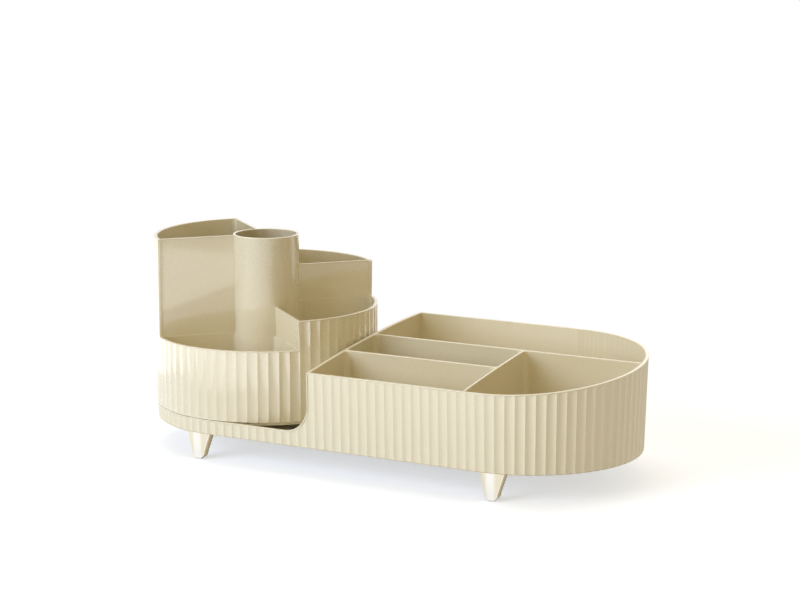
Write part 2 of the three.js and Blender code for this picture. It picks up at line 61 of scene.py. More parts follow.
WHITE = (1.0, 1.0, 1.0, 1.0)
AXIS = Vector(next(j for j in frame["joints"] if j["name"] == "caddy_spin")["pos_m"]).to_2d()
CENTRE = tuple(AXIS)

Point = tuple[float, float]
Track = list[tuple[Vector, Vector]]
Place = tuple[float, float, float]
Color = tuple[float, float, float]
Socket = bpy.types.NodeSocket


class Cut(Enum):
    """How one solid meets another."""

    ADD = "UNION"
    TAKE = "DIFFERENCE"
    KEEP = "INTERSECT"


class Node(Enum):
    """Which kind of tree a sketch draws in."""

    SHAPE = "GeometryNodeTree"
    SHADE = "ShaderNodeTree"


class Layout(Enum):
    """How a repeated small piece is laid out."""

    RING = "Ring of pieces"
    CORNERS = "Pieces at four corners"


class Sketch:
    """Draws one node tree: adds nodes, feeds their sockets and names its inputs and outputs."""

    def __init__(self, tree: bpy.types.NodeTree) -> None:
        """Starts on the tree that gets the nodes."""
        self.tree = tree

    def node(self, kind: str, *feeds: object, **settings: object) -> bpy.types.Node:
        """Adds a node.

        Args:
            kind: The node's type name.
            feeds: Values or sockets for its inputs, in order; None leaves an input alone.
            settings: Properties of the node.

        Returns:
            The new node.
        """
        made = self.tree.nodes.new(kind)
        for name, value in settings.items():
            setattr(made, name, value)
        live = [s for s in made.inputs if s.enabled]
        for socket, value in zip(live, feeds):
            self.feed(socket, value)
        return made

    def feed(self, socket: Socket, value: object) -> None:
        """Links a socket into an input, or sets the input's own value.

        Args:
            socket: The input.
            value: An output socket, a plain value, or None.
        """
        if isinstance(value, bpy.types.NodeSocket):
            self.tree.links.new(value, socket)
        elif value is not None:
            socket.default_value = value

    def fill(self, node: bpy.types.Node, values: dict[str, object]) -> None:
        """Feeds a node's inputs by their names."""
        for name, value in values.items():
            self.feed(node.inputs[name], value)

    def math(self, operation: str, *values: object) -> Socket:
        """Adds a Math node on numbers or sockets and returns its result."""
        return self.node("ShaderNodeMath", *values, operation=operation).outputs[0]

    def share(self, value: object) -> Socket:
        """Holds a value between 0 and 1 and returns it."""
        return self.node("ShaderNodeClamp", value, 0.0, 1.0).outputs[0]

    def noise(self, where: Socket, scale: float, detail: float) -> Socket:
        """Adds a noise pattern and returns its value.

        Args:
            where: Coordinates it is laid on.
            scale: Its cells per metre.
            detail: Finer octaves on top.

        Returns:
            The pattern's value, about 0.5 on average.
        """
        made = self.node("ShaderNodeTexNoise", where, noise_dimensions="3D")
        self.fill(made, {"Scale": scale, "Detail": detail})
        return made.outputs["Fac"]

    def mix(self, share: Socket, first: object, second: object) -> Socket:
        """Mixes two colours.

        Args:
            share: How much of the second colour is in it.
            first: The first colour.
            second: The second colour.

        Returns:
            The mixed colour.
        """
        made = self.node("ShaderNodeMix", data_type="RGBA")
        for socket, value in zip((made.inputs["Factor"], *made.inputs[6:8]), (share, first, second)):
            self.feed(socket, value)
        return made.outputs[2]

    def inputs(self, sockets: Sequence[tuple[str, str, object]]) -> dict[str, Socket]:
        """Names the tree's inputs.

        Args:
            sockets: Name, socket type and default value of each.

        Returns:
            The sockets inside the tree, by name.
        """
        for name, kind, value in sockets:
            socket = self.tree.interface.new_socket(name=name, in_out="INPUT", socket_type=kind)
            if value is not None:
                socket.default_value = value
        entry = self.tree.nodes.new("NodeGroupInput")
        return {name: entry.outputs[name] for name, _, _ in sockets}

    def outputs(self, sockets: Sequence[tuple[str, str, Socket]]) -> None:
        """Names the tree's outputs and links them.

        Args:
            sockets: Name, socket type and the socket that feeds each.
        """
        for name, kind, _ in sockets:
            self.tree.interface.new_socket(name=name, in_out="OUTPUT", socket_type=kind)
        leave = self.tree.nodes.new("NodeGroupOutput")
        for name, _, source in sockets:
            self.tree.links.new(source, leave.inputs[name])

    def close_shape(self, shape: Socket, material: Socket) -> None:
        """Ends a shape tree with real geometry that carries its material.

        Args:
            shape: The geometry so far.
            material: The material it gets.
        """
        solid = self.node("GeometryNodeRealizeInstances", shape)
        dressed = self.node("GeometryNodeSetMaterial", solid.outputs[0], None, material)
        self.outputs([("Geometry", "NodeSocketGeometry", dressed.outputs[0])])


def new_tree(name: str, kind: Node) -> Sketch:
    """Makes an empty node tree and returns a sketch that draws in it."""
    return Sketch(bpy.data.node_groups.new(name, kind.value))


def own_tree(owner: bpy.types.Material | bpy.types.World) -> Sketch:
    """Empties the tree of a material or world and returns a sketch that draws in it.

    Args:
        owner: The material or world.

    Returns:
        The sketch.
    """
    owner.use_nodes = True
    owner.node_tree.nodes.clear()
    return Sketch(owner.node_tree)


def link(name: str, data: bpy.types.ID) -> bpy.types.Object:
    """Puts a mesh, lamp or camera in the scene as an object at the origin and returns it.

    Args:
        name: The object's name.
        data: The mesh, lamp or camera.

    Returns:
        The object.
    """
    made = bpy.data.objects.new(name, data)
    bpy.context.scene.collection.objects.link(made)
    return made


def settle(name: str, shape: bmesh.types.BMesh) -> bpy.types.Object:
    """Writes a drawn shape into a new object, frees the shape and returns the object.

    Args:
        name: The object's name.
        shape: The drawn shape.

    Returns:
        The object.
    """
    mesh = bpy.data.meshes.new(name)
    shape.to_mesh(mesh)
    shape.free()
    return link(name, mesh)


def drop(*objects: bpy.types.Object) -> None:
    """Removes helper objects and their meshes.

    Args:
        objects: The helper objects.
    """
    for obj in objects:
        mesh = obj.data
        bpy.data.objects.remove(obj)
        if mesh.users == 0:
            bpy.data.meshes.remove(mesh)


def loft(name: str, rings: Sequence[Sequence[Vector]]) -> bpy.types.Object:
    """Skins rings of equal point count into a closed solid with flat ends.

    Args:
        name: The object's name.
        rings: Anticlockwise rings, from low to high.

    Returns:
        The solid.
    """
    shape = bmesh.new()
    rows = [[shape.verts.new(point) for point in ring] for ring in rings]
    count = len(rows[0])
    for low, high in zip(rows, rows[1:]):
        for i in range(count):
            j = (i + 1) % count
            shape.faces.new((low[i], low[j], high[j], high[i]))
    shape.faces.new(list(reversed(rows[0])))
    shape.faces.new(rows[-1])
    return settle(name, shape)


def turned(name: str, profile: Sequence[Point], steps: int) -> bpy.types.Object:
    """Turns a closed profile round the caddy's axis into a ring.

    Args:
        name: The object's name.
        profile: Radius and height of each point, anticlockwise.
        steps: Facets round the ring.

    Returns:
        The ring.
    """
    shape = bmesh.new()
    rows = [[shape.verts.new((*polar(r, 360 * i / steps), z)) for r, z in profile] for i in range(steps)]
    for here, ahead in zip(rows, rows[1:] + rows[:1]):
        for k in range(len(profile)):
            up = (k + 1) % len(profile)
            shape.faces.new((here[k], ahead[k], ahead[up], here[up]))
    return settle(name, shape)


def level(outline: Iterable[Point], z: float) -> list[Vector]:
    """Lifts a flat outline to a height and returns its points."""
    return [Vector((x, y, z)) for x, y in outline]


def block(name: str, outline: Sequence[Point], low: float, high: float) -> bpy.types.Object:
    """Makes an upright block with the given outline, between two heights."""
    return loft(name, [level(outline, low), level(outline, high)])


def arc(centre: Point, radius: float, start: float, end: float, steps: int) -> list[Point]:
    """Points of an arc, in degrees, both ends included."""
    turns = [math.radians(start + (end - start) * i / steps) for i in range(steps + 1)]
    return [(centre[0] + radius * math.cos(t), centre[1] + radius * math.sin(t)) for t in turns]


def circle(centre: Point, radius: float, steps: int) -> list[Point]:
    """Points of a whole circle, anticlockwise."""
    return arc(centre, radius, 0, 360, steps)[:-1]


def disc(name: str, centre: Point, radius: float, low: float, high: float, steps: int) -> bpy.types.Object:
    """Makes an upright round bar."""
    return block(name, circle(centre, radius, steps), low, high)


def stacked(name: str, centre: Point, rows: Sequence[Point], steps: int) -> bpy.types.Object:
    """Makes an upright turned bar from radius and height pairs, from low to high."""
    return loft(name, [level(circle(centre, r, steps), z) for r, z in rows])


def polar(radius: float, degrees: float) -> Point:
    """A point at a radius and angle round the caddy's axis."""
    t = math.radians(degrees)
    return (AXIS.x + radius * math.cos(t), AXIS.y + radius * math.sin(t))


def heading(turn: float) -> Vector:
    """The level direction at an angle in radians."""
    return Vector((math.cos(turn), math.sin(turn), 0.0))


def off_axis(way: Vector, reach: float, z: float) -> Vector:
    """The point that lies a distance from the caddy's axis in a level direction, at a height."""
    return AXIS.to_3d() + way * reach + Vector((0, 0, z))


def swung(points: Iterable[Point], degrees: float, centre: Point) -> list[Point]:
    """Turns points about the origin and then moves the origin to a centre."""
    cosine, sine = math.cos(math.radians(degrees)), math.sin(math.radians(degrees))
    return [(centre[0] + x * cosine - y * sine, centre[1] + x * sine + y * cosine) for x, y in points]


def soft_step(share: float) -> float:
    """A share held between 0 and 1, with a soft start and end."""
    held = min(max(share, 0.0), 1.0)
    return held * held * (3.0 - 2.0 * held)


def rounded_box(x0: float, x1: float, y0: float, y1: float, corner: float, inset: float) -> list[Point]:
    """Rectangle with rounded corners, anticlockwise.

    Args:
        x0: Left side.
        x1: Right side.
        y0: Front side.
        y1: Rear side.
        corner: Radius of the corners.
        inset: How far every side moves inwards.

    Returns:
        The outline's points.
    """
    radius = corner - inset
    centres = ((x1 - corner, y0 + corner), (x1 - corner, y1 - corner), (x0 + corner, y1 - corner),
               (x0 + corner, y0 + corner))
    points: list[Point] = []
    for i, centre in enumerate(centres):
        points += arc(centre, radius, 90 * i - 90, 90 * i, 8)
    return points


def bend(start: Vector, corner: Vector, end: Vector, steps: int) -> list[Point]:
    """Points of a soft bend between two places on either side of a corner."""
    shares = [i / steps for i in range(steps + 1)]
    return [tuple(start * (1 - t) ** 2 + corner * 2 * t * (1 - t) + end * t * t) for t in shares]


def eased_corners(points: Sequence[Point], radius: float, steps: int = 5) -> list[Point]:
    """Rounds the inner corners of an open line of points.

    Args:
        points: The line's points.
        radius: How far from each corner the rounding starts.
        steps: Facets of each rounding.

    Returns:
        The rounded line.
    """
    line = [Vector(p) for p in points]
    out = [tuple(line[0])]
    for before, corner, after in zip(line, line[1:], line[2:]):
        ways = [before - corner, after - corner]
        if ways[0].normalized().dot(ways[1].normalized()) < STRAIGHT_COSINE:
            out.append(tuple(corner))
            continue
        start, end = [corner + way.normalized() * min(radius, way.length * CORNER_SHARE) for way in ways]
        out += bend(start, corner, end, steps)
    out.append(tuple(line[-1]))
    return out


def eased_loop(points: Sequence[Point], radius: float, steps: int = 3) -> list[Point]:
    """Rounds every corner of a closed outline and returns its points."""
    return eased_corners([points[-1], *points, points[0]], radius, steps)[1:-1]


def even(points: Sequence[Point], step: float) -> list[Point]:
    """Adds points to a line so that no stretch is longer than a step.

    Args:
        points: The line's points.
        step: The longest stretch.

    Returns:
        The line with the added points.
    """
    out = [points[0]]
    for a, b in zip(points, points[1:]):
        pieces = max(1, math.ceil(math.dist(a, b) / step))
        out += [(a[0] + (b[0] - a[0]) * i / pieces, a[1] + (b[1] - a[1]) * i / pieces)
                for i in range(1, pieces + 1)]
    return out


def rounded_polygon(face: Sequence[Point], corners: Sequence[Point], radius: float) -> list[Point]:
    """Closes a curved face with straight sides and rounds the corners between them.

    Args:
        face: Points of the curved face.
        corners: The other corners, on from the face's last point.
        radius: How far from each corner the rounding starts.

    Returns:
        The outline's points, always of the same count.
    """
    shares = (0.6, CORNER_SHARE)
    ring = [Vector(p) for p in (face[-3], face[-1], *corners, face[0], face[2])]
    points: list[Point] = []
    for before, corner, after in zip(ring, ring[1:], ring[2:]):
        start, end = [corner + way.normalized() * min(radius, way.length * share)
                      for way, share in zip((before - corner, after - corner), shares)]
        points += bend(start, corner, end, 4)
    return points + list(face[2:-2])


def fillet_rows(floor: float, fillet: float) -> list[Point]:
    """Inset and height of each step round the edge between a floor and its walls."""
    turns = [math.radians(90 * i / FILLET_STEPS) for i in range(FILLET_STEPS + 1)]
    return [(fillet * (1 - math.sin(t)), floor + fillet * (1 - math.cos(t))) for t in turns]


def hollow(name: str, outline: Callable[[float], Sequence[Point]], floor: float, top: float,
           fillet: float) -> bpy.types.Object:
    """A room to take away, its floor edge rounded.

    Args:
        name: The object's name.
        outline: Gives the room's outline for an inset.
        floor: Height of its floor.
        top: Height of its open end.
        fillet: Radius between floor and walls.

    Returns:
        The room as a solid.
    """
    rings = [level(outline(inset), z) for inset, z in fillet_rows(floor, fillet)]
    return loft(name, [*rings, level(outline(0.0), top)])


def each(cut: Cut, solids: Iterable[bpy.types.Object]) -> list[tuple[Cut, bpy.types.Object]]:
    """The same step for each solid."""
    return [(cut, solid) for solid in solids]


def carve(base: bpy.types.Object, steps: Sequence[tuple[Cut, bpy.types.Object]]) -> bpy.types.Object:
    """Joins, cuts or trims a solid with others, in order, and removes those others.

    Args:
        base: The solid to work on.
        steps: What is done, and with which solid.

    Returns:
        The same object with its new mesh.
    """
    for cut, tool in steps:
        step = base.modifiers.new(tool.name, "BOOLEAN")
        step.operation = cut.value
        step.solver = "MANIFOLD"
        step.object = tool
    bake(base)
    drop(*dict.fromkeys(tool for _, tool in steps))
    return base


def bake(obj: bpy.types.Object) -> None:
    """Turns an object's modifiers into its mesh.

    Args:
        obj: The object.
    """
    view = bpy.context.evaluated_depsgraph_get()
    view.update()
    mesh = bpy.data.meshes.new_from_object(obj.evaluated_get(view), depsgraph=view)
    obj.modifiers.clear()
    old = obj.data
    obj.data = mesh
    mesh.name = obj.name
    if old.users == 0:
        bpy.data.meshes.remove(old)


def grow(name: str, tree: bpy.types.NodeTree, values: dict[str, object],
         start: bpy.types.Mesh | None = None) -> bpy.types.Object:
    """Runs a Geometry Nodes tree and keeps its result as a plain mesh.

    Args:
        name: The object's name.
        tree: The tree.
        values: Values of its named inputs.
        start: The mesh it works on, if any.

    Returns:
        The object with the finished mesh.
    """
    made = link(name, start or bpy.data.meshes.new(name))
    step = made.modifiers.new("Shape", "NODES")
    step.node_group = tree
    for item in tree.interface.items_tree:
        if item.item_type == "SOCKET" and item.in_out == "INPUT" and item.name in values:
            step[item.identifier] = values[item.name]
    bake(made)
    return made


def smooth(obj: bpy.types.Object, angle: float = 34.0) -> bpy.types.Object:
    """Shades an object smooth, with sharp edges above an angle in degrees, and returns it.

    Args:
        obj: The object.
        angle: The angle between two faces above which their edge stays sharp.

    Returns:
        The same object.
    """
    obj.data.shade_smooth()
    obj.data.set_sharp_from_angle(angle=math.radians(angle))
    return obj


def repeated(name: str, tree: bpy.types.NodeTree, piece: bpy.types.Object,
             values: dict[str, object]) -> bpy.types.Object:
    """Repeats a small piece and removes the single one.

    Args:
        name: The object's name.
        tree: The tree that lays the repeats out.
        piece: The piece.
        values: Values of the tree's other inputs.

    Returns:
        The repeats as one mesh.
    """
    made = grow(name, tree, {"Piece": piece, **values})
    drop(piece)
    return smooth(made)


def tidy_shell(obj: bpy.types.Object) -> None:
    """Merges doubles and turns all faces of a closed shell outwards.

    Args:
        obj: The shell.
    """
    shape = bmesh.new()
    shape.from_mesh(obj.data)
    bmesh.ops.remove_doubles(shape, verts=shape.verts, dist=MERGE_DISTANCE)
    bmesh.ops.recalc_face_normals(shape, faces=shape.faces)
    if shape.calc_volume(signed=True) < 0:
        bmesh.ops.reverse_faces(shape, faces=shape.faces)
    shape.to_mesh(obj.data)
    shape.free()


def numbered(stem: str, count: int) -> list[str]:
    """Names of a run of like nodes, from 1."""
    return [f"{stem}_{i + 1}" for i in range(count)]


def wear(obj: bpy.types.Object, material: bpy.types.Material) -> None:
    """Gives an object one material in place of its own."""
    obj.data.materials.clear()
    obj.data.materials.append(material)


def finish_piece(obj: bpy.types.Object, body: str, material: bpy.types.Material,
                 nodes: Sequence[str]) -> None:
    """Dresses a piece, ties it to its body and reports it.

    Args:
        obj: The piece.
        body: The body it moves with.
        material: Its finish.
        nodes: The CAD nodes that it stands for.
    """
    wear(obj, material)
    for face in obj.data.polygons:
        face.material_index = 0
    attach(obj, body)
    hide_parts(*nodes)
    LOG.info("%s: %d faces on %s", obj.name, len(obj.data.polygons), body)


def fluted_prism_tree() -> bpy.types.NodeTree:
    """Builds the tree of a closed prism on a racetrack outline with concave flutes.

    A ring of columns runs round the outline. Each column's place comes from how many flutes lie before it.

    Returns:
        The tree.
    """
    draw = new_tree("Fluted prism", Node.SHAPE)
    given = draw.inputs([
        ("Centre", "NodeSocketVector", None), ("Centre Distance", "NodeSocketFloat", 0.0),
        ("End Radius", "NodeSocketFloat", 0.08), ("Straight Flutes", "NodeSocketFloat", 0.0),
        ("End Flutes", "NodeSocketFloat", 34.0), ("Columns per Flute", "NodeSocketInt", 12),
        ("Flute Depth", "NodeSocketFloat", 0.001), ("Ridge Softness", "NodeSocketFloat", 0.05),
        ("Start Angle", "NodeSocketFloat", 0.0), ("Bottom", "NodeSocketFloat", 0.0),
        ("Height", "NodeSocketFloat", 0.1), ("Edge Radius", "NodeSocketFloat", 0.0007),
        ("Hold", "NodeSocketFloat", 0.0004), ("Draft", "NodeSocketFloat", 0.0),
        ("Material", "NodeSocketMaterial", None),
    ])
    straight, end = given["Straight Flutes"], given["End Flutes"]
    flutes = draw.math("MULTIPLY", draw.math("ADD", straight, end), 2.0)
    columns = draw.math("MULTIPLY", flutes, given["Columns per Flute"])
    whole = draw.node("FunctionNodeFloatToInt", columns, rounding_mode="ROUND").outputs[0]
    steps, edge_rows = 6, 4
    ring = draw.node("GeometryNodeMeshCylinder", whole, steps, 1, 1.0, 1.0, fill_type="NGON")
    x, y, z = draw.node("ShaderNodeSeparateXYZ", draw.node("GeometryNodeInputPosition").outputs[0]).outputs

    # Flutes passed so far, spaced closer near the ridges
    turn = draw.math("DIVIDE", draw.math("ARCTAN2", y, x), math.tau)
    turn = draw.math("FRACT", draw.math("ADD", turn, 1.0))
    column = draw.math("ROUND", draw.math("MULTIPLY", turn, columns))
    passed = draw.math("DIVIDE", column, given["Columns per Flute"])
    within = draw.math("SUBTRACT", passed, draw.math("FLOOR", passed))
    within = draw.math("MULTIPLY_ADD", draw.math("COSINE", draw.math("MULTIPLY", within, math.pi)), -0.5, 0.5)
    passed = draw.math("ADD", draw.math("FLOOR", passed), within)

    # Depth across a flute: a parabola whose ridges are slightly rounded
    across = draw.math("MULTIPLY_ADD", within, 2.0, -1.0)
    bowl = draw.math("SUBTRACT", 1.0, draw.math("MULTIPLY", across, across))
    soft = given["Ridge Softness"]
    soft_square = draw.math("MULTIPLY", soft, soft)

    def rounded(value: object) -> Socket:
        """Takes the sharp corner at 0 off a value."""
        root = draw.math("SQRT", draw.math("ADD", draw.math("MULTIPLY", value, value), soft_square))
        return draw.math("SUBTRACT", root, soft)

    dip = draw.math("MULTIPLY", draw.math("DIVIDE", rounded(bowl), rounded(1.0)), given["Flute Depth"])

    # Place on the outline: front side, right end, rear side, left end
    no_flutes = 0.001
    side = draw.math("MAXIMUM", straight, no_flutes)
    second = draw.math("ADD", straight, end)
    third = draw.math("ADD", second, straight)
    legs = []
    for begin, length in ((0.0, side), (straight, end), (second, side), (third, end)):
        legs.append(draw.share(draw.math("DIVIDE", draw.math("SUBTRACT", passed, begin), length)))
    angle = draw.math("MULTIPLY_ADD", draw.math("ADD", legs[1], legs[3]), math.pi, -math.pi / 2)
    angle = draw.math("ADD", angle, given["Start Angle"])
    along = draw.math("MULTIPLY", draw.math("SUBTRACT", legs[0], legs[2]), given["Centre Distance"])

    # Height: the lowest rows round the bottom edge over, and the flutes fade in there.
    # One more row just above keeps the tall faces' shading straight.
    row = draw.math("MULTIPLY", draw.math("ADD", z, 0.5), float(steps))
    low_rows = draw.share(draw.math("DIVIDE", row, float(edge_rows)))
    quarter = draw.math("MULTIPLY", low_rows, math.pi / 2)
    edge, sine = given["Edge Radius"], draw.math("SINE", quarter)
    lift = draw.math("MULTIPLY", edge, draw.math("SUBTRACT", 1.0, draw.math("COSINE", quarter)))
    inset = draw.math("MULTIPLY", edge, draw.math("SUBTRACT", 1.0, sine))
    hold = draw.share(draw.math("SUBTRACT", row, float(edge_rows)))
    last = draw.share(draw.math("SUBTRACT", row, edge_rows + 1.0))
    tall = draw.math("SUBTRACT", draw.math("SUBTRACT", given["Height"], edge), given["Hold"])
    rise = draw.math("MULTIPLY_ADD", given["Hold"], hold, lift)
    rise = draw.math("ADD", rise, draw.math("MULTIPLY", tall, last))
    reach = draw.math("MULTIPLY_ADD", given["Draft"], rise, given["End Radius"])
    reach = draw.math("SUBTRACT", draw.math("SUBTRACT", reach, draw.math("MULTIPLY", dip, sine)), inset)
    flat = draw.node("ShaderNodeCombineXYZ",
                     draw.math("MULTIPLY_ADD", draw.math("COSINE", angle), reach, along),
                     draw.math("MULTIPLY", draw.math("SINE", angle), reach),
                     draw.math("ADD", rise, given["Bottom"]))
    place = draw.node("ShaderNodeVectorMath", flat.outputs[0], given["Centre"], operation="ADD")
    moved = draw.node("GeometryNodeSetPosition", ring.outputs["Mesh"], None, place.outputs[0])
    draw.close_shape(moved.outputs[0], given["Material"])
    return draw.tree


def bead_tree() -> bpy.types.NodeTree:
    """Builds the tree of a rounded rim bead that follows a path.

    The path is a line of edges whose points carry the direction across the wall.

    Returns:
        The tree.
    """
    draw = new_tree("Rim bead", Node.SHAPE)
    given = draw.inputs([
        ("Geometry", "NodeSocketGeometry", None), ("Width", "NodeSocketFloat", 0.0022),
        ("Height", "NodeSocketFloat", 0.0008), ("Edge Radius", "NodeSocketFloat", 0.0003),
        ("Edge Steps", "NodeSocketInt", 4), ("Material", "NodeSocketMaterial", None),
    ])
    across = draw.node("GeometryNodeInputNamedAttribute", "across", data_type="FLOAT_VECTOR").outputs[0]
    path = draw.node("GeometryNodeMeshToCurve", given["Geometry"])
    path = draw.node("GeometryNodeSetCurveNormal", path.outputs[0], None, mode="FREE")
    draw.fill(path, {"Normal": across})
    section = draw.node("GeometryNodeCurvePrimitiveQuadrilateral", given["Width"], given["Height"])
    section = draw.node("GeometryNodeFilletCurve", section.outputs[0], mode="POLY")
    draw.fill(section, {"Count": given["Edge Steps"], "Radius": given["Edge Radius"]})
    swept = draw.node("GeometryNodeCurveToMesh", path.outputs[0], section.outputs[0])
    draw.fill(swept, {"Fill Caps": True})
    draw.close_shape(swept.outputs[0], given["Material"])
    return draw.tree


def pieces_tree(layout: Layout) -> bpy.types.NodeTree:
    """Builds the tree that repeats one small piece round a circle or at four corners.

    Args:
        layout: How the pieces stand.

    Returns:
        The tree.
    """
    ring = layout is Layout.RING
    sizes = ([("Count", "NodeSocketInt", 12), ("Circle Radius", "NodeSocketFloat", 0.048)] if ring else
             [("Span X", "NodeSocketFloat", 0.2), ("Span Y", "NodeSocketFloat", 0.1)])
    draw = new_tree(layout.value, Node.SHAPE)
    given = draw.inputs([
        ("Piece", "NodeSocketObject", None), *sizes, ("Start Angle", "NodeSocketFloat", 0.0),
        ("Tip Over", "NodeSocketFloat", 0.0), ("Centre", "NodeSocketVector", None),
        ("Material", "NodeSocketMaterial", None),
    ])
    if ring:
        points = draw.node("GeometryNodeMeshCircle", given["Count"], given["Circle Radius"])
    else:
        points = draw.node("GeometryNodeMeshGrid", given["Span X"], given["Span Y"], 2, 2)
    piece = draw.node("GeometryNodeObjectInfo", given["Piece"]).outputs["Geometry"]
    spread = draw.node("GeometryNodeInstanceOnPoints", points.outputs[0], None, piece)
    draw.fill(spread, {"Rotation": draw.node("ShaderNodeCombineXYZ", given["Tip Over"], 0.0, 0.0).outputs[0]})
    placed = draw.node("GeometryNodeTransform", spread.outputs[0])
    start = draw.node("ShaderNodeCombineXYZ", 0.0, 0.0, given["Start Angle"])
    draw.fill(placed, {"Translation": given["Centre"], "Rotation": start.outputs[0]})
    draw.close_shape(placed.outputs[0], given["Material"])
    return draw.tree


@dataclass
class Trees:
    """The shape trees, built once."""

    prism: bpy.types.NodeTree
    bead: bpy.types.NodeTree
    ring: bpy.types.NodeTree
    corners: bpy.types.NodeTree


def rim_bead(name: str, tree: bpy.types.NodeTree, path: Track, width: float, height: float,
             closed: bool) -> bpy.types.Object:
    """Sweeps a bead along a path.

    Args:
        name: The object's name.
        tree: The bead tree.
        path: Each point of the bead's centre line, with the direction across the wall.
        width: Width across the wall.
        height: Height of the bead.
        closed: Whether the path meets itself.

    Returns:
        The bead as a closed solid.
    """
    line = bpy.data.meshes.new(name)
    count = len(path)
    edges = [(i, (i + 1) % count) for i in range(count if closed else count - 1)]
    line.from_pydata([point for point, _ in path], edges, [])
    across = line.attributes.new("across", "FLOAT_VECTOR", "POINT")
    across.data.foreach_set("vector", [c for _, way in path for c in way])
    made = grow(name, tree, {"Width": width, "Height": height, "Edge Radius": BEAD_EDGE_SHARE * height}, line)
    tidy_shell(made)
    return made


def thread(shank: float, tip: float, pitch: float, turns: int) -> list[Point]:
    """Radius and height pairs of a screw's thread, from its tip up.

    Args:
        shank: Radius over the thread.
        tip: Height of the screw's tip.
        pitch: Height of one turn.
        turns: How many turns it has.

    Returns:
        The pairs.
    """
    core = THREAD_CORE_SHARE * shank
    rows = [(0.5 * shank, tip), (core, tip + 0.8 * shank)]
    for i in range(turns):
        z = tip + shank + i * pitch
        rows += [(shank, z), (core, z + pitch / 2)]
    return rows


@dataclass(frozen=True)
class ScrewSize:
    """Sizes of a countersunk screw and of the clearance round it."""

    shank: float
    head: float
    head_height: float
    length: float
    clearance: float = 0.3 * MM
    pitch: float = 0.5 * MM
    rim: float = 0.15 * MM
    rim_edge: float = 0.1 * MM

    @property
    def hole(self) -> float:
        """Radius of the hole that the shank passes through."""
        return self.shank + self.clearance

    def build(self) -> bpy.types.Object:
        """Builds the screw with its head at z = 0, a rolled thread and a cross recess.

        Returns:
            The screw.
        """
        turns = int((self.length - self.head_height - 1.2 * self.shank) / self.pitch)
        rows = thread(self.shank, -self.length, self.pitch, turns)
        rows += [(self.shank, -self.head_height), (self.head, -self.rim), (self.head - self.rim_edge, 0.0)]
        made = stacked("screw", (0.0, 0.0), rows, 28)
        cross_recess(made, 0.66 * self.head, 0.2 * self.head, 0.55 * self.head_height, 0.0)
        return smooth(made)

    def seat(self, centre: Point, bottom: float, face: float, flip: bool = False) -> bpy.types.Object:
        """The countersunk hole for the screw, to take away.

        Args:
            centre: Plan position.
            bottom: Height where the hole ends.
            face: Height of the surface that the head sits in.
            flip: Whether the head points down.

        Returns:
            The hole as a solid.
        """
        cone = self.head + self.clearance
        rows = [(self.hole, bottom), (self.hole, face - self.head_height - self.clearance),
                (cone, face - self.clearance), (cone, face + CUT_OVERRUN)]
        if flip:
            rows = [(r, 2 * face - z) for r, z in reversed(rows)]
        return stacked("seat", centre, rows, 32)


def cross_recess(screw: bpy.types.Object, arm: float, half: float, depth: float, top: float) -> None:
    """Cuts a cross into the top of a screw that stands on the z axis.

    Args:
        screw: The screw.
        arm: Half length of each slot.
        half: Half width of each slot.
        depth: Depth of the slots.
        top: Height of the screw's top.
    """
    for x, y in ((arm, half), (half, arm)):
        outline = [(-x, -y), (x, -y), (x, y), (-x, y)]
        carve(screw, [(Cut.TAKE, block("recess", outline, top - depth, top + SHORT_OVERRUN))])


RACE_SCREW = ScrewSize(1.1 * MM, 2.3 * MM, 1.2 * MM, 3.6 * MM)
FOOT_SCREW = ScrewSize(1.5 * MM, 3.2 * MM, 1.6 * MM, 11 * MM)


@dataclass
class Moulding:
    """What the tray and the caddy share: a drafted, fluted wall with a rounded bead along its rim."""

    wall: float = 2.2 * MM
    divider: float = 1.6 * MM
    draft: float = 0.0
    flute_depth: float = 0.9 * MM
    under_edge: float = 0.7 * MM
    bead: float = 0.8 * MM
    proud: float = 0.1 * MM

    def shell(self, name: str, trees: Trees, sizes: dict[str, float]) -> bpy.types.Object:
        """Grows the fluted outside as a full block.

        Args:
            name: The object's name.
            trees: The shape trees.
            sizes: Values of the prism tree's other inputs.

        Returns:
            The block.
        """
        return grow(name, trees.prism, {
            "Centre": (*CENTRE, 0.0), "Flute Depth": self.flute_depth, "Edge Radius": self.under_edge,
            "Draft": self.draft, **sizes,
        })

    def rim(self, trees: Trees, path: Track) -> bpy.types.Object:
        """The bead round the whole outer rim."""
        return rim_bead("rim", trees.bead, path, self.wall + self.proud + BEAD_INSIDE, self.bead, True)

    def inward(self) -> float:
        """How far the middle of the rim's bead lies within the ridges."""
        return (self.wall + BEAD_INSIDE - self.proud) / 2

    def top(self, trees: Trees, path: Track, thickness: float, closed: bool = False) -> bpy.types.Object:
        """The rounded top of an inner wall of a thickness."""
        return rim_bead("top", trees.bead, path, thickness + 2 * BEAD_INSIDE, self.bead, closed)


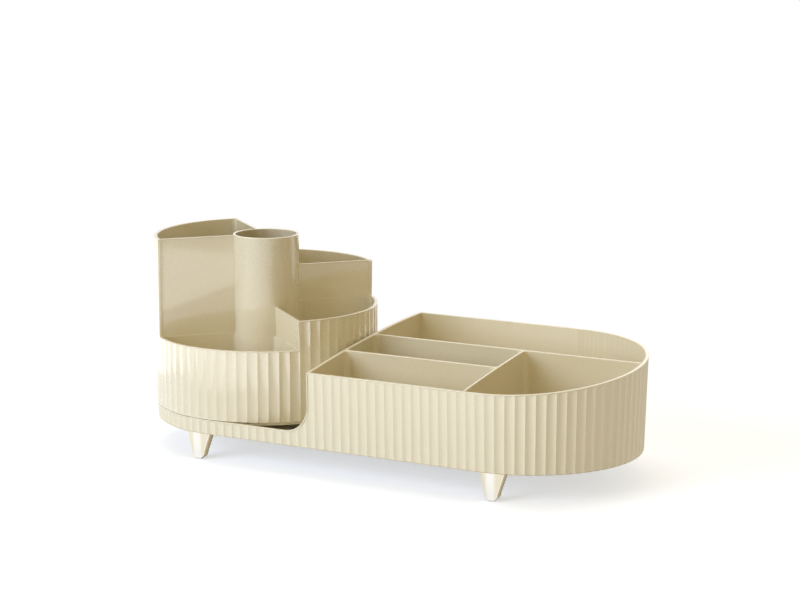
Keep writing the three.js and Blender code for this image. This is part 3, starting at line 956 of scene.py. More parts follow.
@dataclass
class Tray(Moulding):
    """The long fluted tray with its compartments."""

    end_radius: float = 80.3 * MM
    centre_distance: float = 212.6 * MM
    stand: float = 20.4 * MM
    front_height: float = 53.8 * MM
    rear_rise: float = 15.1 * MM
    ramp_power: float = 1.6
    draft: float = 0.029
    floor_under: float = 21.6 * MM
    floor_top: float = 23.6 * MM
    straight_flutes: float = 31.0
    end_flutes: float = 37.0
    corner: float = 4.0 * MM
    floor_fillet: float = 1.6 * MM
    lip_height: float = 10.7 * MM
    drop_fillet: float = 19.5 * MM
    drop_x: float = 83.0 * MM
    front_length: float = 117.9 * MM
    front_depth: float = 46.9 * MM
    slot_depth: float = 40.0 * MM
    rim_ease: float = 1.0 * MM
    rim_step: float = 2.5 * MM
    boss_radius: float = 7.0 * MM
    boss_top: float = 30.7 * MM
    boss_fillet: float = 0.6 * MM
    boss_edge: float = 0.3 * MM
    pivot_bore: float = 2.2 * MM
    bore_skin: float = 0.4 * MM
    hole_skin: float = 0.2 * MM
    foot_boss: float = 11.5 * MM
    race_boss: float = 4.0 * MM
    left_feet: float = -12.0 * MM
    right_feet: float = 8.8 * MM

    def radius(self, z: float) -> float:
        """Radius of the rounded ends at a height, on the ridges."""
        return self.end_radius + self.draft * (z - self.stand)

    def ramp(self, y: float) -> float:
        """Height of the rim at a distance from the long axis.

        Args:
            y: The distance, which is negative on the low front side.

        Returns:
            The height.
        """
        reach = self.radius(self.stand + self.front_height + self.rear_rise)
        share = min(max((y + reach) / (2 * reach), 0.0), 1.0)
        return self.stand + self.front_height + self.rear_rise * (1 - (1 - share) ** self.ramp_power)

    def outline(self, radius: float, steps: int = 72) -> list[Point]:
        """Smooth racetrack outline of a radius, anticlockwise."""
        left, right = (AXIS.x, AXIS.y), (AXIS.x + self.centre_distance, AXIS.y)
        return arc(right, radius, -90, 90, steps) + arc(left, radius, 90, 270, steps)

    @property
    def cross(self) -> float:
        """Where the compartments left of the cross wall end."""
        return AXIS.x + self.drop_x + self.wall + self.front_length

    @property
    def back(self) -> float:
        """Where the left front compartment ends."""
        return AXIS.y - self.end_radius + self.wall + self.front_depth

    @property
    def slot_back(self) -> float:
        """Where the middle slot ends."""
        return self.back + self.divider + self.slot_depth

    def inner(self) -> bpy.types.Object:
        """The drafted room within the outer wall, its floor edge rounded.

        Returns:
            The room as a solid.
        """
        rows = [(self.wall + inset, z) for inset, z in fillet_rows(self.floor_top, self.floor_fillet)]
        rows.append((self.wall, self.ramp(self.end_radius) + CUT_OVERRUN))
        return loft("inner", [level(self.outline(self.radius(z) - inset), z) for inset, z in rows])

    def above_ramp(self, lower: float) -> bpy.types.Object:
        """Everything over the sloping rim, which is lowered by a distance.

        Args:
            lower: How far the rim is lowered.

        Returns:
            The solid to take away.
        """
        reach = self.radius(self.ramp(self.end_radius)) + CUT_OVERRUN
        high = self.ramp(self.end_radius) + 3 * CUT_OVERRUN
        steps = 48
        ys = [AXIS.y - reach + 2 * reach * i / steps for i in range(steps + 1)]
        left = AXIS.x - reach - CUT_OVERRUN
        right = AXIS.x + self.centre_distance + reach + CUT_OVERRUN
        rim = [(y, self.ramp(y - AXIS.y) - lower) for y in ys]
        ring = rim + [(ys[-1], high), (ys[0], high)]
        return loft("above_ramp", [[Vector((x, y, z)) for y, z in ring] for x in (left, right)])

    def above_lip(self, grow_by: float) -> bpy.types.Object:
        """Everything over the low lip and left of the curved drop.

        Args:
            grow_by: How far the solid reaches past the lip and the drop.

        Returns:
            The solid to take away.
        """
        drop_at = AXIS.x + self.drop_x
        centre = (drop_at - self.drop_fillet, self.stand + self.lip_height + self.drop_fillet)
        reach = self.radius(self.ramp(self.end_radius)) + CUT_OVERRUN
        high = self.ramp(self.end_radius) + 2 * CUT_OVERRUN
        left = AXIS.x - reach - CUT_OVERRUN
        ring = [(left, centre[1] - self.drop_fillet - grow_by)]
        ring += arc(centre, self.drop_fillet + grow_by, -90, 0, 24)
        ring += [(drop_at + grow_by, high), (left, high)]
        return loft("above_lip", [[Vector((x, y, z)) for x, z in ring]
                                  for y in (AXIS.y + reach, AXIS.y - reach)])

    def place(self, distance: float, z: float, inward: float) -> tuple[Vector, Vector]:
        """A point of the wall, and the direction out of the wall there.

        Args:
            distance: Way along the outline from the middle of the left end, anticlockwise, with the ends
                measured at the end radius.
            z: Height.
            inward: How far the point lies within the ridges.

        Returns:
            The point and the outward direction.
        """
        quarter = self.end_radius * math.pi / 2
        reach = self.radius(z) - inward
        stretches = (quarter, self.centre_distance, 2 * quarter, self.centre_distance, quarter)
        centre_x, angle = AXIS.x, -180.0
        for i, length in enumerate(stretches):
            part = min(max(distance, 0.0), length)
            distance -= part
            if i in (1, 3):
                centre_x += part * (1 if i == 1 else -1)
            else:
                angle += math.degrees(part / self.end_radius)
        way = heading(math.radians(angle))
        return Vector((centre_x + way.x * reach, AXIS.y + way.y * reach, z)), way

    def rim_line(self) -> Track:
        """Centre line of the bead round the whole rim: lip, drop, sloping rim and back.

        Returns:
            Each point, with the direction across the wall.
        """
        half = self.bead / 2
        quarter = self.end_radius * math.pi / 2
        lip = self.stand + self.lip_height
        centre = (quarter + self.drop_x - self.drop_fillet, lip + self.drop_fillet)
        edge = quarter + self.drop_x + half
        total = 4 * quarter + 2 * self.centre_distance

        def rim_height(distance: float) -> float:
            """Height of the bead's centre line on the sloping rim."""
            point, _ = self.place(distance, self.stand + self.front_height, 0.0)
            return self.ramp(point.y - AXIS.y) - half

        front = [(0.0, lip - half), (centre[0], lip - half)]
        front += arc(centre, self.drop_fillet + half, -90, 0, 20)[1:]
        front += [(edge, rim_height(edge))]
        slope = [edge + (total - 2 * edge) * i / 240 for i in range(1, 240)]
        rear = [(total - x, z) for x, z in reversed(front)]
        rear[0] = (total - edge, rim_height(total - edge))
        line = eased_corners(front + [(x, rim_height(x)) for x in slope] + rear, self.rim_ease)
        return [self.place(x, z, self.inward()) for x, z in even(line, self.rim_step)[:-1]]

    def build(self, trees: Trees, feet: Sequence["Foot"], race: "Race") -> bpy.types.Object:
        """Builds the tray as one closed mesh.

        Args:
            trees: The shape trees.
            feet: The feet, for the bosses and screw holes over them.
            race: The ball race, for its screw holes.

        Returns:
            The tray.
        """
        top = self.ramp(self.end_radius) + CUT_OVERRUN
        half = self.bead / 2
        body = self.shell("tray_shell", trees, {
            "Centre Distance": self.centre_distance, "End Radius": self.end_radius,
            "Straight Flutes": self.straight_flutes, "End Flutes": self.end_flutes, "Bottom": self.stand,
            "Height": top - self.stand,
        })
        foot_of_boss = self.boss_radius + self.boss_fillet
        boss = stacked("boss", CENTRE, [(foot_of_boss, self.floor_under), (foot_of_boss, self.floor_top),
                                        (self.boss_radius, self.floor_top + self.boss_fillet),
                                        (self.boss_radius, self.boss_top - self.boss_edge),
                                        (self.boss_radius - self.boss_edge, self.boss_top)], 48)
        holes = [disc("bore", CENTRE, self.pivot_bore, self.floor_under + self.bore_skin,
                      self.boss_top + half, 32)]
        holes += [disc("hole", at, RACE_SCREW.hole, self.floor_under + self.hole_skin,
                       self.floor_top + SHORT_OVERRUN, 24) for at in race.screw_places(0.0)]
        holes += [FOOT_SCREW.seat(foot.place(), self.stand - CUT_OVERRUN, self.floor_top) for foot in feet]
        rooms = [self.above_ramp(half), self.above_lip(half), *self.rooms(top), self.underside(feet, race)]
        steps = each(Cut.TAKE, rooms) + [(Cut.ADD, boss)] + each(Cut.TAKE, holes)
        return smooth(carve(body, steps + each(Cut.ADD, self.beads(trees))))

    def rooms(self, top: float) -> list[bpy.types.Object]:
        """The compartments and the place for the caddy, as solids to take away.

        Args:
            top: Height of their open ends.

        Returns:
            The solids.
        """
        far = self.radius(top) + CUT_OVERRUN
        left, right = AXIS.x + self.drop_x + self.wall, AXIS.x + self.centre_distance + far
        front, rear = AXIS.y - far, AXIS.y + far
        spans = {
            "front_left": (left, self.cross, front, self.back),
            "middle": (left, self.cross, self.back + self.divider, self.slot_back),
            "front_right": (self.cross + self.divider, right, front, self.slot_back),
            "rear": (left, right, self.slot_back + self.divider, rear),
            "caddy_place": (AXIS.x - far, AXIS.x + self.drop_x, front, rear),
        }
        rooms = []
        for name, span in spans.items():
            room = hollow(name, lambda inset, s=span: rounded_box(*s, self.corner, inset), self.floor_top,
                          top, self.floor_fillet)
            rooms.append(carve(room, [(Cut.KEEP, self.inner())]))
        return rooms

    def beads(self, trees: Trees) -> list[bpy.types.Object]:
        """The bead round the rim and the rounded tops of the inner walls.

        Args:
            trees: The shape trees.

        Returns:
            The beads.
        """
        half, middle, steps = self.bead / 2, self.wall / 2, 40
        left_x, cross_x = AXIS.x + self.drop_x + middle, self.cross + self.divider / 2
        short_y, long_y = self.back + self.divider / 2, self.slot_back + self.divider / 2
        near = AXIS.y - self.radius(self.ramp(-self.end_radius)) + middle
        far = AXIS.y + self.radius(self.ramp(self.end_radius)) - middle
        end_x = AXIS.x + self.centre_distance + math.sqrt(
            (self.radius(self.ramp(long_y)) - middle) ** 2 - (long_y - AXIS.y) ** 2)

        def across_tray(x: float, y1: float) -> Track:
            """Line along Y, from the front, that follows the slope of the rim."""
            ys = [near + (y1 - near) * i / steps for i in range(steps + 1)]
            return [(Vector((x, y, self.ramp(y - AXIS.y) - half)), Vector((1, 0, 0))) for y in ys]

        def along_tray(y: float, x1: float) -> Track:
            """Level line along X, from the left wall."""
            z = self.ramp(y - AXIS.y) - half
            return [(Vector((x, y, z)), Vector((0, 1, 0))) for x in (left_x, (left_x + x1) / 2, x1)]

        paths = [across_tray(cross_x, long_y), along_tray(long_y, end_x), along_tray(short_y, cross_x)]
        return [self.rim(trees, self.rim_line()), self.top(trees, across_tray(left_x, far), self.wall),
                *(self.top(trees, path, self.divider) for path in paths)]

    def underside(self, feet: Sequence["Foot"], race: "Race") -> bpy.types.Object:
        """The shallow recess underneath, with a boss left over each foot and each screw.

        Args:
            feet: The feet.
            race: The ball race, for its screws.

        Returns:
            The recess as a solid.
        """
        low = self.stand - CUT_OVERRUN
        rings = [level(self.outline(self.end_radius - self.wall), z) for z in (low, self.floor_under)]
        recess = loft("recess", rings)
        spots = [(foot.place(), self.foot_boss) for foot in feet]
        spots += [(at, self.race_boss) for at in race.screw_places(0.0)]
        spots.append((CENTRE, self.boss_radius))
        return carve(recess, each(Cut.TAKE, (disc("boss", at, radius, low - SHORT_OVERRUN,
                                                  self.floor_under + SHORT_OVERRUN, 48)
                                             for at, radius in spots)))


@dataclass
class Caddy(Moulding):
    """The round caddy: fluted wall in four heights, four radial walls and a centre cylinder."""

    radius: float = 80.9 * MM
    draft: float = 0.0025
    flute_depth: float = 0.65 * MM
    under_edge: float = 0.2 * MM
    flutes: int = 67
    turn: float = 48.9
    bottom: float = 31.5 * MM
    spigot_bottom: float = 28.5 * MM
    spigot_radius: float = 77.3 * MM
    spigot_wall: float = 2.1 * MM
    spigot_edge: float = 0.4 * MM
    floor_under: float = 31.0 * MM
    floor_top: float = 33.6 * MM
    cylinder: float = 24.0 * MM
    cylinder_wall: float = 1.8 * MM
    corner: float = 3.0 * MM
    floor_fillet: float = 1.5 * MM
    rim_ease: float = 0.8 * MM
    rim_step: float = 2.2 * MM
    rim_gap: float = 0.5 * MM
    hub_bore: float = 4.15 * MM
    hole_depth: float = 1.8 * MM
    tops: tuple[float, ...] = (129.6 * MM, 153.7 * MM, 82.5 * MM, 103.25 * MM)

    def wall_at(self, z: float) -> float:
        """Ridge radius of the outer wall at a height."""
        return self.radius + self.draft * (z - self.bottom)

    def turned(self, points: Iterable[Point], quarter: int) -> list[Point]:
        """Turns points of the first quarter to another and moves them to the caddy's axis."""
        return swung(points, self.turn + 90 * quarter, CENTRE)

    def well(self, quarter: int, inset: float) -> list[Point]:
        """Outline of a compartment: two radial walls, the outer wall and the cylinder.

        Args:
            quarter: Which compartment.
            inset: How far the outline moves inwards.

        Returns:
            The outline's points.
        """
        side = self.divider / 2 + inset
        corner = self.corner - inset
        outer = self.radius - self.wall - inset
        inner = self.cylinder + inset
        rise = side + corner
        outer_x = math.sqrt((outer - corner) ** 2 - rise ** 2)
        inner_x = math.sqrt((inner + corner) ** 2 - rise ** 2)
        a = math.degrees(math.atan2(rise, outer_x))
        b = math.degrees(math.atan2(rise, inner_x))
        points = arc((outer_x, rise), corner, -90, a, 8)
        points += arc((0, 0), outer, a, 90 - a, 40)[1:-1]
        points += arc((rise, outer_x), corner, 90 - a, 180, 8)
        points += arc((rise, inner_x), corner, 180, 270 - b, 8)
        points += arc((0, 0), inner, 90 - b, b, 16)[1:-1]
        points += arc((inner_x, rise), corner, 180 + b, 270, 8)
        return self.turned(points, quarter)

    def sides(self, quarter: int) -> tuple[float, float]:
        """How far the low part of a quarter is cut past its two radial planes.

        Args:
            quarter: Which quarter.

        Returns:
            The distance at its start and at its end.
        """
        rim = self.tops[quarter]
        half = self.divider / 2
        return (half if self.tops[quarter - 1] > rim else -half,
                half if self.tops[(quarter + 1) % 4] > rim else -half)

    def above(self, quarter: int, lower: float) -> bpy.types.Object:
        """Everything over the rim of one quarter, cut back by a distance all round.

        Args:
            quarter: Which quarter.
            lower: The distance.

        Returns:
            The solid to take away.
        """
        start, end = self.sides(quarter)
        far = self.radius + 3 * CUT_OVERRUN
        y0, x0 = start - lower, end - lower
        points = [(x0, y0), (far, y0), (far, far), (x0, far)]
        high = max(self.tops) + 2 * CUT_OVERRUN
        return block("above", self.turned(points, quarter), self.tops[quarter] - lower, high)

    def rim_line(self) -> Track:
        """Centre line of the bead that climbs and falls with the outer wall.

        Returns:
            Each point, with the direction across the wall.
        """
        half = self.bead / 2
        line: list[Point] = []
        for quarter in range(4):
            start, end = self.sides(quarter)
            z = self.tops[quarter] - half
            # On a low side the bead runs on to the step, on a high side it turns down at the same place
            first = 90 * quarter + math.degrees(math.asin((start - half) / self.radius))
            last = 90 * (quarter + 1) - math.degrees(math.asin((end - half) / self.radius))
            line += [(math.radians(first) * self.radius, z), (math.radians(last) * self.radius, z)]
        lap = math.tau * self.radius
        (x0, z0), (x1, z1), (last_x, last_z) = line[0], line[1], line[-1]
        # One lap with a stretch before and after it, so that both ends are rounded alike
        line = [(last_x - lap, last_z), *line, (x0 + lap, z0), (x1 + lap, z1)]
        start = (x0 + x1) / 2
        path = []
        for distance, z in even(eased_corners(line, self.rim_ease), self.rim_step):
            if start <= distance < start + lap - self.rim_gap:
                way = heading(distance / self.radius + math.radians(self.turn))
                path.append((off_axis(way, self.wall_at(z) - self.inward(), z), way))
        return path

    def beads(self, trees: Trees) -> list[bpy.types.Object]:
        """The rim bead, the rounded tops of the radial walls and the cylinder's rim.

        Args:
            trees: The shape trees.

        Returns:
            The beads.
        """
        half = self.bead / 2
        inner = self.cylinder - self.cylinder_wall / 2
        ways = [heading(math.tau * i / 96) for i in range(96)]
        lip = [(off_axis(way, inner, max(self.tops) - half), way) for way in ways]
        made = [self.rim(trees, self.rim_line()), self.top(trees, lip, self.cylinder_wall, True)]
        for quarter in range(4):
            z = max(self.tops[quarter], self.tops[quarter - 1]) - half
            way = heading(math.radians(self.turn + 90 * quarter))
            across = Vector((-way.y, way.x, 0.0))
            reaches = (inner, self.radius / 2, self.wall_at(z) - self.wall / 2)
            path = [(off_axis(way, reach, z), across) for reach in reaches]
            made.append(self.top(trees, path, self.divider))
        return made

    def build(self, trees: Trees, race: "Race") -> bpy.types.Object:
        """Builds the caddy as one closed mesh.

        Args:
            trees: The shape trees.
            race: The ball race, for its screw holes.

        Returns:
            The caddy.
        """
        half = self.bead / 2
        high = max(self.tops)
        body = self.shell("caddy_shell", trees, {
            "End Radius": self.radius, "End Flutes": self.flutes / 2, "Start Angle": math.radians(self.turn),
            "Bottom": self.bottom, "Height": high - half - self.bottom,
        })
        spigot = stacked("spigot", CENTRE, [(self.spigot_radius - self.spigot_edge, self.spigot_bottom),
                                            (self.spigot_radius, self.spigot_bottom + self.spigot_edge),
                                            (self.spigot_radius, self.floor_top)], 144)
        cylinder = disc("cylinder", CENTRE, self.cylinder, self.floor_under, high - half, 96)
        outlines = [lambda inset, q=quarter: self.well(q, inset) for quarter in range(4)]
        outlines.append(lambda inset: circle(CENTRE, self.cylinder - self.cylinder_wall - inset, 96))
        holes = [hollow("room", outline, self.floor_top, high + CUT_OVERRUN, self.floor_fillet)
                 for outline in outlines]
        holes.append(disc("under", CENTRE, self.spigot_radius - self.spigot_wall,
                          self.spigot_bottom - CUT_OVERRUN, self.floor_under, 144))
        holes.append(disc("hub", CENTRE, self.hub_bore, self.spigot_bottom, self.floor_top + CUT_OVERRUN, 48))
        holes += [disc("hole", at, RACE_SCREW.hole, self.floor_under - SHORT_OVERRUN,
                       self.floor_under + self.hole_depth, 24) for at in race.screw_places(race.upper_turn)]
        steps = each(Cut.TAKE, (self.above(quarter, half) for quarter in range(4)))
        steps += each(Cut.ADD, (spigot, cylinder)) + each(Cut.TAKE, holes) + each(Cut.ADD, self.beads(trees))
        return smooth(carve(body, steps))


@dataclass
class Race:
    """The ball race between tray and caddy: two grooved rings, the cage, the balls and the screws."""

    inside: float = 33.9 * MM
    outside: float = 53.0 * MM
    thickness: float = 2.2 * MM
    lower_bottom: float = 23.9 * MM
    upper_bottom: float = 28.5 * MM
    circle: float = 48.0 * MM
    groove_half: float = 2.4 * MM
    groove_depth: float = 1.1 * MM
    cage_half: float = 4.4 * MM
    cage_thickness: float = 1.3 * MM
    pocket: float = 2.3 * MM
    ball: float = 2.0 * MM
    ball_height: float = 27.3 * MM
    ball_count: int = 12
    screw_circle: float = 38.8 * MM
    screw_count: int = 4
    upper_turn: float = 93.9
    edge: float = 0.25 * MM

    def screw_places(self, turn: float) -> list[Point]:
        """Plan positions of one ring's screws."""
        return [polar(self.screw_circle, turn + 360 * i / self.screw_count) for i in range(self.screw_count)]

    def ring(self, name: str, bottom: float, groove_up: bool, turn: float) -> bpy.types.Object:
        """Builds one grooved ring with countersunk holes on its grooved side.

        Args:
            name: The object's name.
            bottom: Height of its underside.
            groove_up: Whether the groove is in its upper side.
            turn: Angle of its first screw.

        Returns:
            The ring.
        """
        half, deep = self.groove_half, self.groove_depth
        radius = (half ** 2 + deep ** 2) / (2 * deep)
        sweep = math.degrees(math.asin(half / radius))
        face = bottom + self.thickness if groove_up else bottom
        back = bottom if groove_up else bottom + self.thickness
        side = 1 if groove_up else -1
        centre = (self.circle, face + side * (radius - deep))
        groove = [(r, centre[1] + side * (z - centre[1]))
                  for r, z in arc(centre, radius, sweep - 90, -sweep - 90, 12)]
        profile = [(self.inside, back), (self.outside, back), (self.outside, face), *groove,
                   (self.inside, face)]
        if not groove_up:
            profile.reverse()
        made = turned(name, eased_loop(profile, self.edge), 96)
        low = face - self.thickness - SHORT_OVERRUN
        seats = (RACE_SCREW.seat(at, low, face, not groove_up) for at in self.screw_places(turn))
        return smooth(carve(made, each(Cut.TAKE, seats)))

    def cage(self) -> bpy.types.Object:
        """Builds the cage with a pocket for each ball.

        Returns:
            The cage.
        """
        low, high = self.ball_height - self.cage_thickness / 2, self.ball_height + self.cage_thickness / 2
        inside, outside = self.circle - self.cage_half, self.circle + self.cage_half
        profile = eased_loop([(inside, low), (outside, low), (outside, high), (inside, high)], self.edge)
        made = turned("cage_ring", profile, 96)
        places = [polar(self.circle, 360 * (i + 0.5) / self.ball_count) for i in range(self.ball_count)]
        pockets = (disc("pocket", at, self.pocket, low - SHORT_OVERRUN, high + SHORT_OVERRUN, 32)
                   for at in places)
        return smooth(carve(made, each(Cut.TAKE, pockets)))

    def balls(self, trees: Trees, steel: bpy.types.Material) -> bpy.types.Object:
        """Builds the balls in their circle.

        Args:
            trees: The shape trees.
            steel: Their finish.

        Returns:
            All balls as one mesh.
        """
        shape = bmesh.new()
        bmesh.ops.create_uvsphere(shape, u_segments=28, v_segments=18, radius=self.ball)
        return repeated("race_balls", trees.ring, settle("ball", shape), {
            "Count": self.ball_count, "Circle Radius": self.circle, "Start Angle": math.pi / self.ball_count,
            "Centre": (*CENTRE, self.ball_height), "Material": steel,
        })

    def screws(self, trees: Trees, steel: bpy.types.Material, name: str, turn: float, height: float,
               tip_over: float) -> bpy.types.Object:
        """Builds the screws of one ring.

        Args:
            trees: The shape trees.
            steel: Their finish.
            name: The object's name.
            turn: Angle of the first screw.
            height: Height of the heads' flat side.
            tip_over: How far each screw is tipped over, in radians.

        Returns:
            The ring's screws as one mesh.
        """
        return repeated(name, trees.ring, RACE_SCREW.build(), {
            "Count": self.screw_count, "Circle Radius": self.screw_circle, "Start Angle": math.radians(turn),
            "Tip Over": tip_over, "Centre": (*CENTRE, height), "Material": steel,
        })

    def build(self, trees: Trees, bearing: bpy.types.Material, steel: bpy.types.Material) -> None:
        """Builds and finishes every piece of the race.

        Args:
            trees: The shape trees.
            bearing: Finish of the rings and the cage.
            steel: Finish of the balls and screws.
        """
        sink = RACE_SCREW.clearance
        lower = self.ring("lower_ring", self.lower_bottom, True, 0.0)
        upper = self.ring("upper_ring", self.upper_bottom, False, self.upper_turn)
        low_screws = self.screws(trees, steel, "lower_ring_screws", 0.0,
                                 self.lower_bottom + self.thickness - sink, 0.0)
        high_screws = self.screws(trees, steel, "upper_ring_screws", self.upper_turn,
                                  self.upper_bottom + sink, math.pi)
        finish_piece(lower, "base", bearing, ["lower_race"])
        finish_piece(upper, "caddy", bearing, ["upper_race"])
        finish_piece(self.cage(), "cage", bearing, ["ball_cage"])
        finish_piece(self.balls(trees, steel), "cage", steel, numbered("ball", self.ball_count))
        finish_piece(low_screws, "base", steel, numbered("lower_race_screw", self.screw_count))
        finish_piece(high_screws, "caddy", steel, numbered("upper_race_screw", self.screw_count))


@dataclass
class Pivot:
    """The flanged bush that the caddy turns on, and the screw that holds it down."""

    bore: float = 2.2 * MM
    radius: float = 4.0 * MM
    flange: float = 8.5 * MM
    bottom: float = 31.0 * MM
    flange_bottom: float = 33.9 * MM
    flange_top: float = 35.3 * MM
    shank: float = 1.9 * MM
    tip: float = 22.4 * MM
    head: float = 4.2 * MM
    head_bottom: float = 35.6 * MM
    head_top: float = 38.0 * MM
    head_edge: float = 0.2 * MM
    dome_share: float = 0.65
    side_share: float = 0.4
    flat_share: float = 0.3
    plain: float = 1.0 * MM
    pitch: float = 0.7 * MM
    turns: int = 12
    edge: float = 0.3 * MM

    def bush(self) -> bpy.types.Object:
        """Builds the flanged bush.

        Returns:
            The bush.
        """
        profile = [(self.bore, self.bottom), (self.radius, self.bottom), (self.radius, self.flange_bottom),
                   (self.flange, self.flange_bottom), (self.flange, self.flange_top),
                   (self.bore, self.flange_top)]
        return smooth(turned("flanged_bush", eased_loop(profile, self.edge), 64))

    def screw(self) -> bpy.types.Object:
        """Builds the pan-head screw with its thread.

        Returns:
            The screw.
        """
        rows = thread(self.shank, self.tip, self.pitch, self.turns)
        rows += [(self.shank, self.head_bottom - self.plain), (self.shank, self.head_bottom),
                 (self.head - self.head_edge, self.head_bottom),
                 (self.head, self.head_bottom + self.head_edge)]
        rise = self.head_top - self.head_bottom
        for i in range(6):
            t = math.radians(90 * i / 6)
            rows.append((self.head * (1 - self.dome_share + self.dome_share * math.cos(t)),
                         self.head_bottom + rise * (self.side_share + (1 - self.side_share) * math.sin(t))))
        rows.append((self.head * self.flat_share, self.head_top))
        made = stacked("pan_screw", (0.0, 0.0), rows, 48)
        cross_recess(made, 0.6 * self.head, 0.13 * self.head, 0.5 * rise, self.head_top)
        for vertex in made.data.vertices:
            vertex.co += AXIS.to_3d()
        return smooth(made)

    def build(self, bearing: bpy.types.Material, steel: bpy.types.Material) -> None:
        """Builds and finishes the bush and its screw."""
        finish_piece(self.bush(), "base", bearing, ["pivot_bush"])
        finish_piece(self.screw(), "base", steel, ["pivot_screw"])


@dataclass
class Foot:
    """One plated foot: a tapered tongue with a crowned U-shaped face and a rubber pad in its tip."""

    name: str
    centre_x: float
    facing: float
    line: float = 71.8 * MM
    top: float = 20.1 * MM
    bottom: float = 0.55 * MM
    top_width: float = 19.8 * MM
    low_width: float = 10.6 * MM
    top_depth: float = 9.4 * MM
    low_depth: float = 6.2 * MM
    lean: float = 3.0
    crown: float = 16.0 * MM
    edge: float = 0.6 * MM
    # band, pale and rim set the painted highlight on the face's middle and rim, and the faint painted shade beside
    # it
    band: float = 0.22
    pale: float = 3.2 * MM
    rim: float = 0.5 * MM
    socket: float = 9.5 * MM
    pad_width: float = 5.2 * MM
    pad_depth: float = 3.4 * MM
    pad_share_rows: tuple[Point, ...] = ((0.62, 0.0), (0.7, 0.05 * MM), (0.82, 0.25 * MM), (0.94, 0.55 * MM),
                                         (1.0, 0.8 * MM), (0.96, 0.9 * MM))
    edge_share: float = 0.7
    # The flank and under values set the painted shade on the flanks, darker towards the rear, and under the tip
    flank_facing: float = 0.75
    flank_fade: float = 0.2
    flank_front: float = 0.3
    flank_rear: float = 0.9
    under: float = 0.8
    under_facing: float = 0.2
    under_fade: float = 0.4

    def place(self) -> Point:
        """Plan position of the foot's middle."""
        return (AXIS.x + self.centre_x, AXIS.y + math.copysign(self.line, self.facing))

    def outward(self, points: Iterable[Point]) -> list[Point]:
        """Turns points from facing +X to facing outwards, in place."""
        return swung(points, self.facing, self.place())

    def half_width(self, z: float) -> float:
        """Half the face's width at a height; the tip is a half circle.

        Args:
            z: The height.

        Returns:
            Half the width.
        """
        tip = self.low_width / 2
        if z < tip:
            return math.sqrt(max(tip ** 2 - (tip - z) ** 2, 0.0))
        return tip + (self.top_width / 2 - tip) * (z - tip) / (self.top - tip)

    def section(self, z: float) -> list[Point]:
        """Outline of the foot at a height, facing +X, anticlockwise.

        Args:
            z: The height.

        Returns:
            The outline's points.
        """
        half = self.half_width(z)
        short = min((z - self.bottom) / self.edge, 1.0)
        inset = self.edge * (1 - math.sqrt(1 - (1 - short) ** 2)) * self.edge_share
        front = self.top_depth / 2 - (self.top - z) * math.tan(math.radians(self.lean)) - inset
        depth = self.low_depth + (self.top_depth - self.low_depth) * z / self.top - 2 * inset
        sweep = math.degrees(math.asin(min(half / self.crown, 1.0)))
        face = arc((front - self.crown, 0.0), self.crown, -sweep, sweep, 32)
        corners = [(front - depth, half), (front - depth, -half)]
        return rounded_polygon(face, corners, self.edge)

    def build(self) -> bpy.types.Object:
        """Builds the foot in place, as one closed mesh with the blind hole for its screw.

        Returns:
            The foot.
        """
        tip = self.low_width / 2
        heights = [self.bottom + self.edge * (i / 5) ** 2 for i in range(5)]
        heights += [self.bottom + self.edge + (tip - self.bottom - self.edge) * i / 7 for i in range(8)]
        heights += [tip + (self.top - tip) * i / 8 for i in range(1, 9)]
        foot = loft(f"{self.name}_leg", [level(self.outward(self.section(z)), z) for z in heights])
        socket = disc("socket", self.place(), FOOT_SCREW.hole, self.top - self.socket,
                      self.top + SHORT_OVERRUN, 32)
        smooth(carve(foot, [(Cut.TAKE, socket)]), 40.0)
        self.paint_gold_shade_and_highlight(foot)
        return foot

    def paint_gold_shade_and_highlight(self, foot: bpy.types.Object) -> None:
        """Stores how deep the gold is at each point, which paints shade and highlight on the foot.

        The middle of the face and its rim stay pale as a painted highlight, and the bands beside the middle are
        faintly gold as painted shade. The flanks and the underside of the tip deepen: the flanks' gold is partly
        the plating's own tone and partly painted shade, and the dark gold towards the rear and under the tip is
        painted shade.

        Args:
            foot: The foot, in place.
        """
        ahead = heading(math.radians(self.facing))
        across = Vector((-ahead.y, ahead.x, 0.0))
        middle, tip = Vector((*self.place(), 0.0)), self.low_width / 2
        depths = []
        for vertex in foot.data.vertices:
            at, z = vertex.co - middle, vertex.co.z
            way = abs(at.dot(across))
            inside = self.half_width(z) - way if z > tip else tip - math.hypot(way, tip - z)
            # Painted highlight on the middle of the face and its rim, with faint painted shade in the bands
            # between
            band = soft_step((way - self.pale / 2) / self.pale) * soft_step((inside - self.rim) / self.rim)
            back = soft_step(0.5 - at.dot(ahead) / self.top_depth)
            # Painted shade on the flanks, darker towards the rear
            flank = soft_step((self.flank_facing - vertex.normal.dot(ahead)) / self.flank_fade)
            flank *= self.flank_front + (self.flank_rear - self.flank_front) * back
            # Painted shade under the tip
            under = self.under * soft_step((-vertex.normal.z - self.under_facing) / self.under_fade)
            depths.append(max(flank, self.band * band, under))
        mark = foot.data.attributes.new("side", "FLOAT", "POINT")
        mark.data.foreach_set("value", depths)

    def pad(self) -> bpy.types.Object:
        """Builds the soft pad that the foot stands on.

        Returns:
            The pad.
        """
        rings = []
        for share, z in self.pad_share_rows:
            outline = [(x * share * self.pad_depth / 2, y * share * self.pad_width / 2)
                       for x, y in circle((0.0, 0.0), 1.0, 40)]
            rings.append(level(self.outward(outline), z))
        return smooth(loft(f"{self.name}_pad", rings))


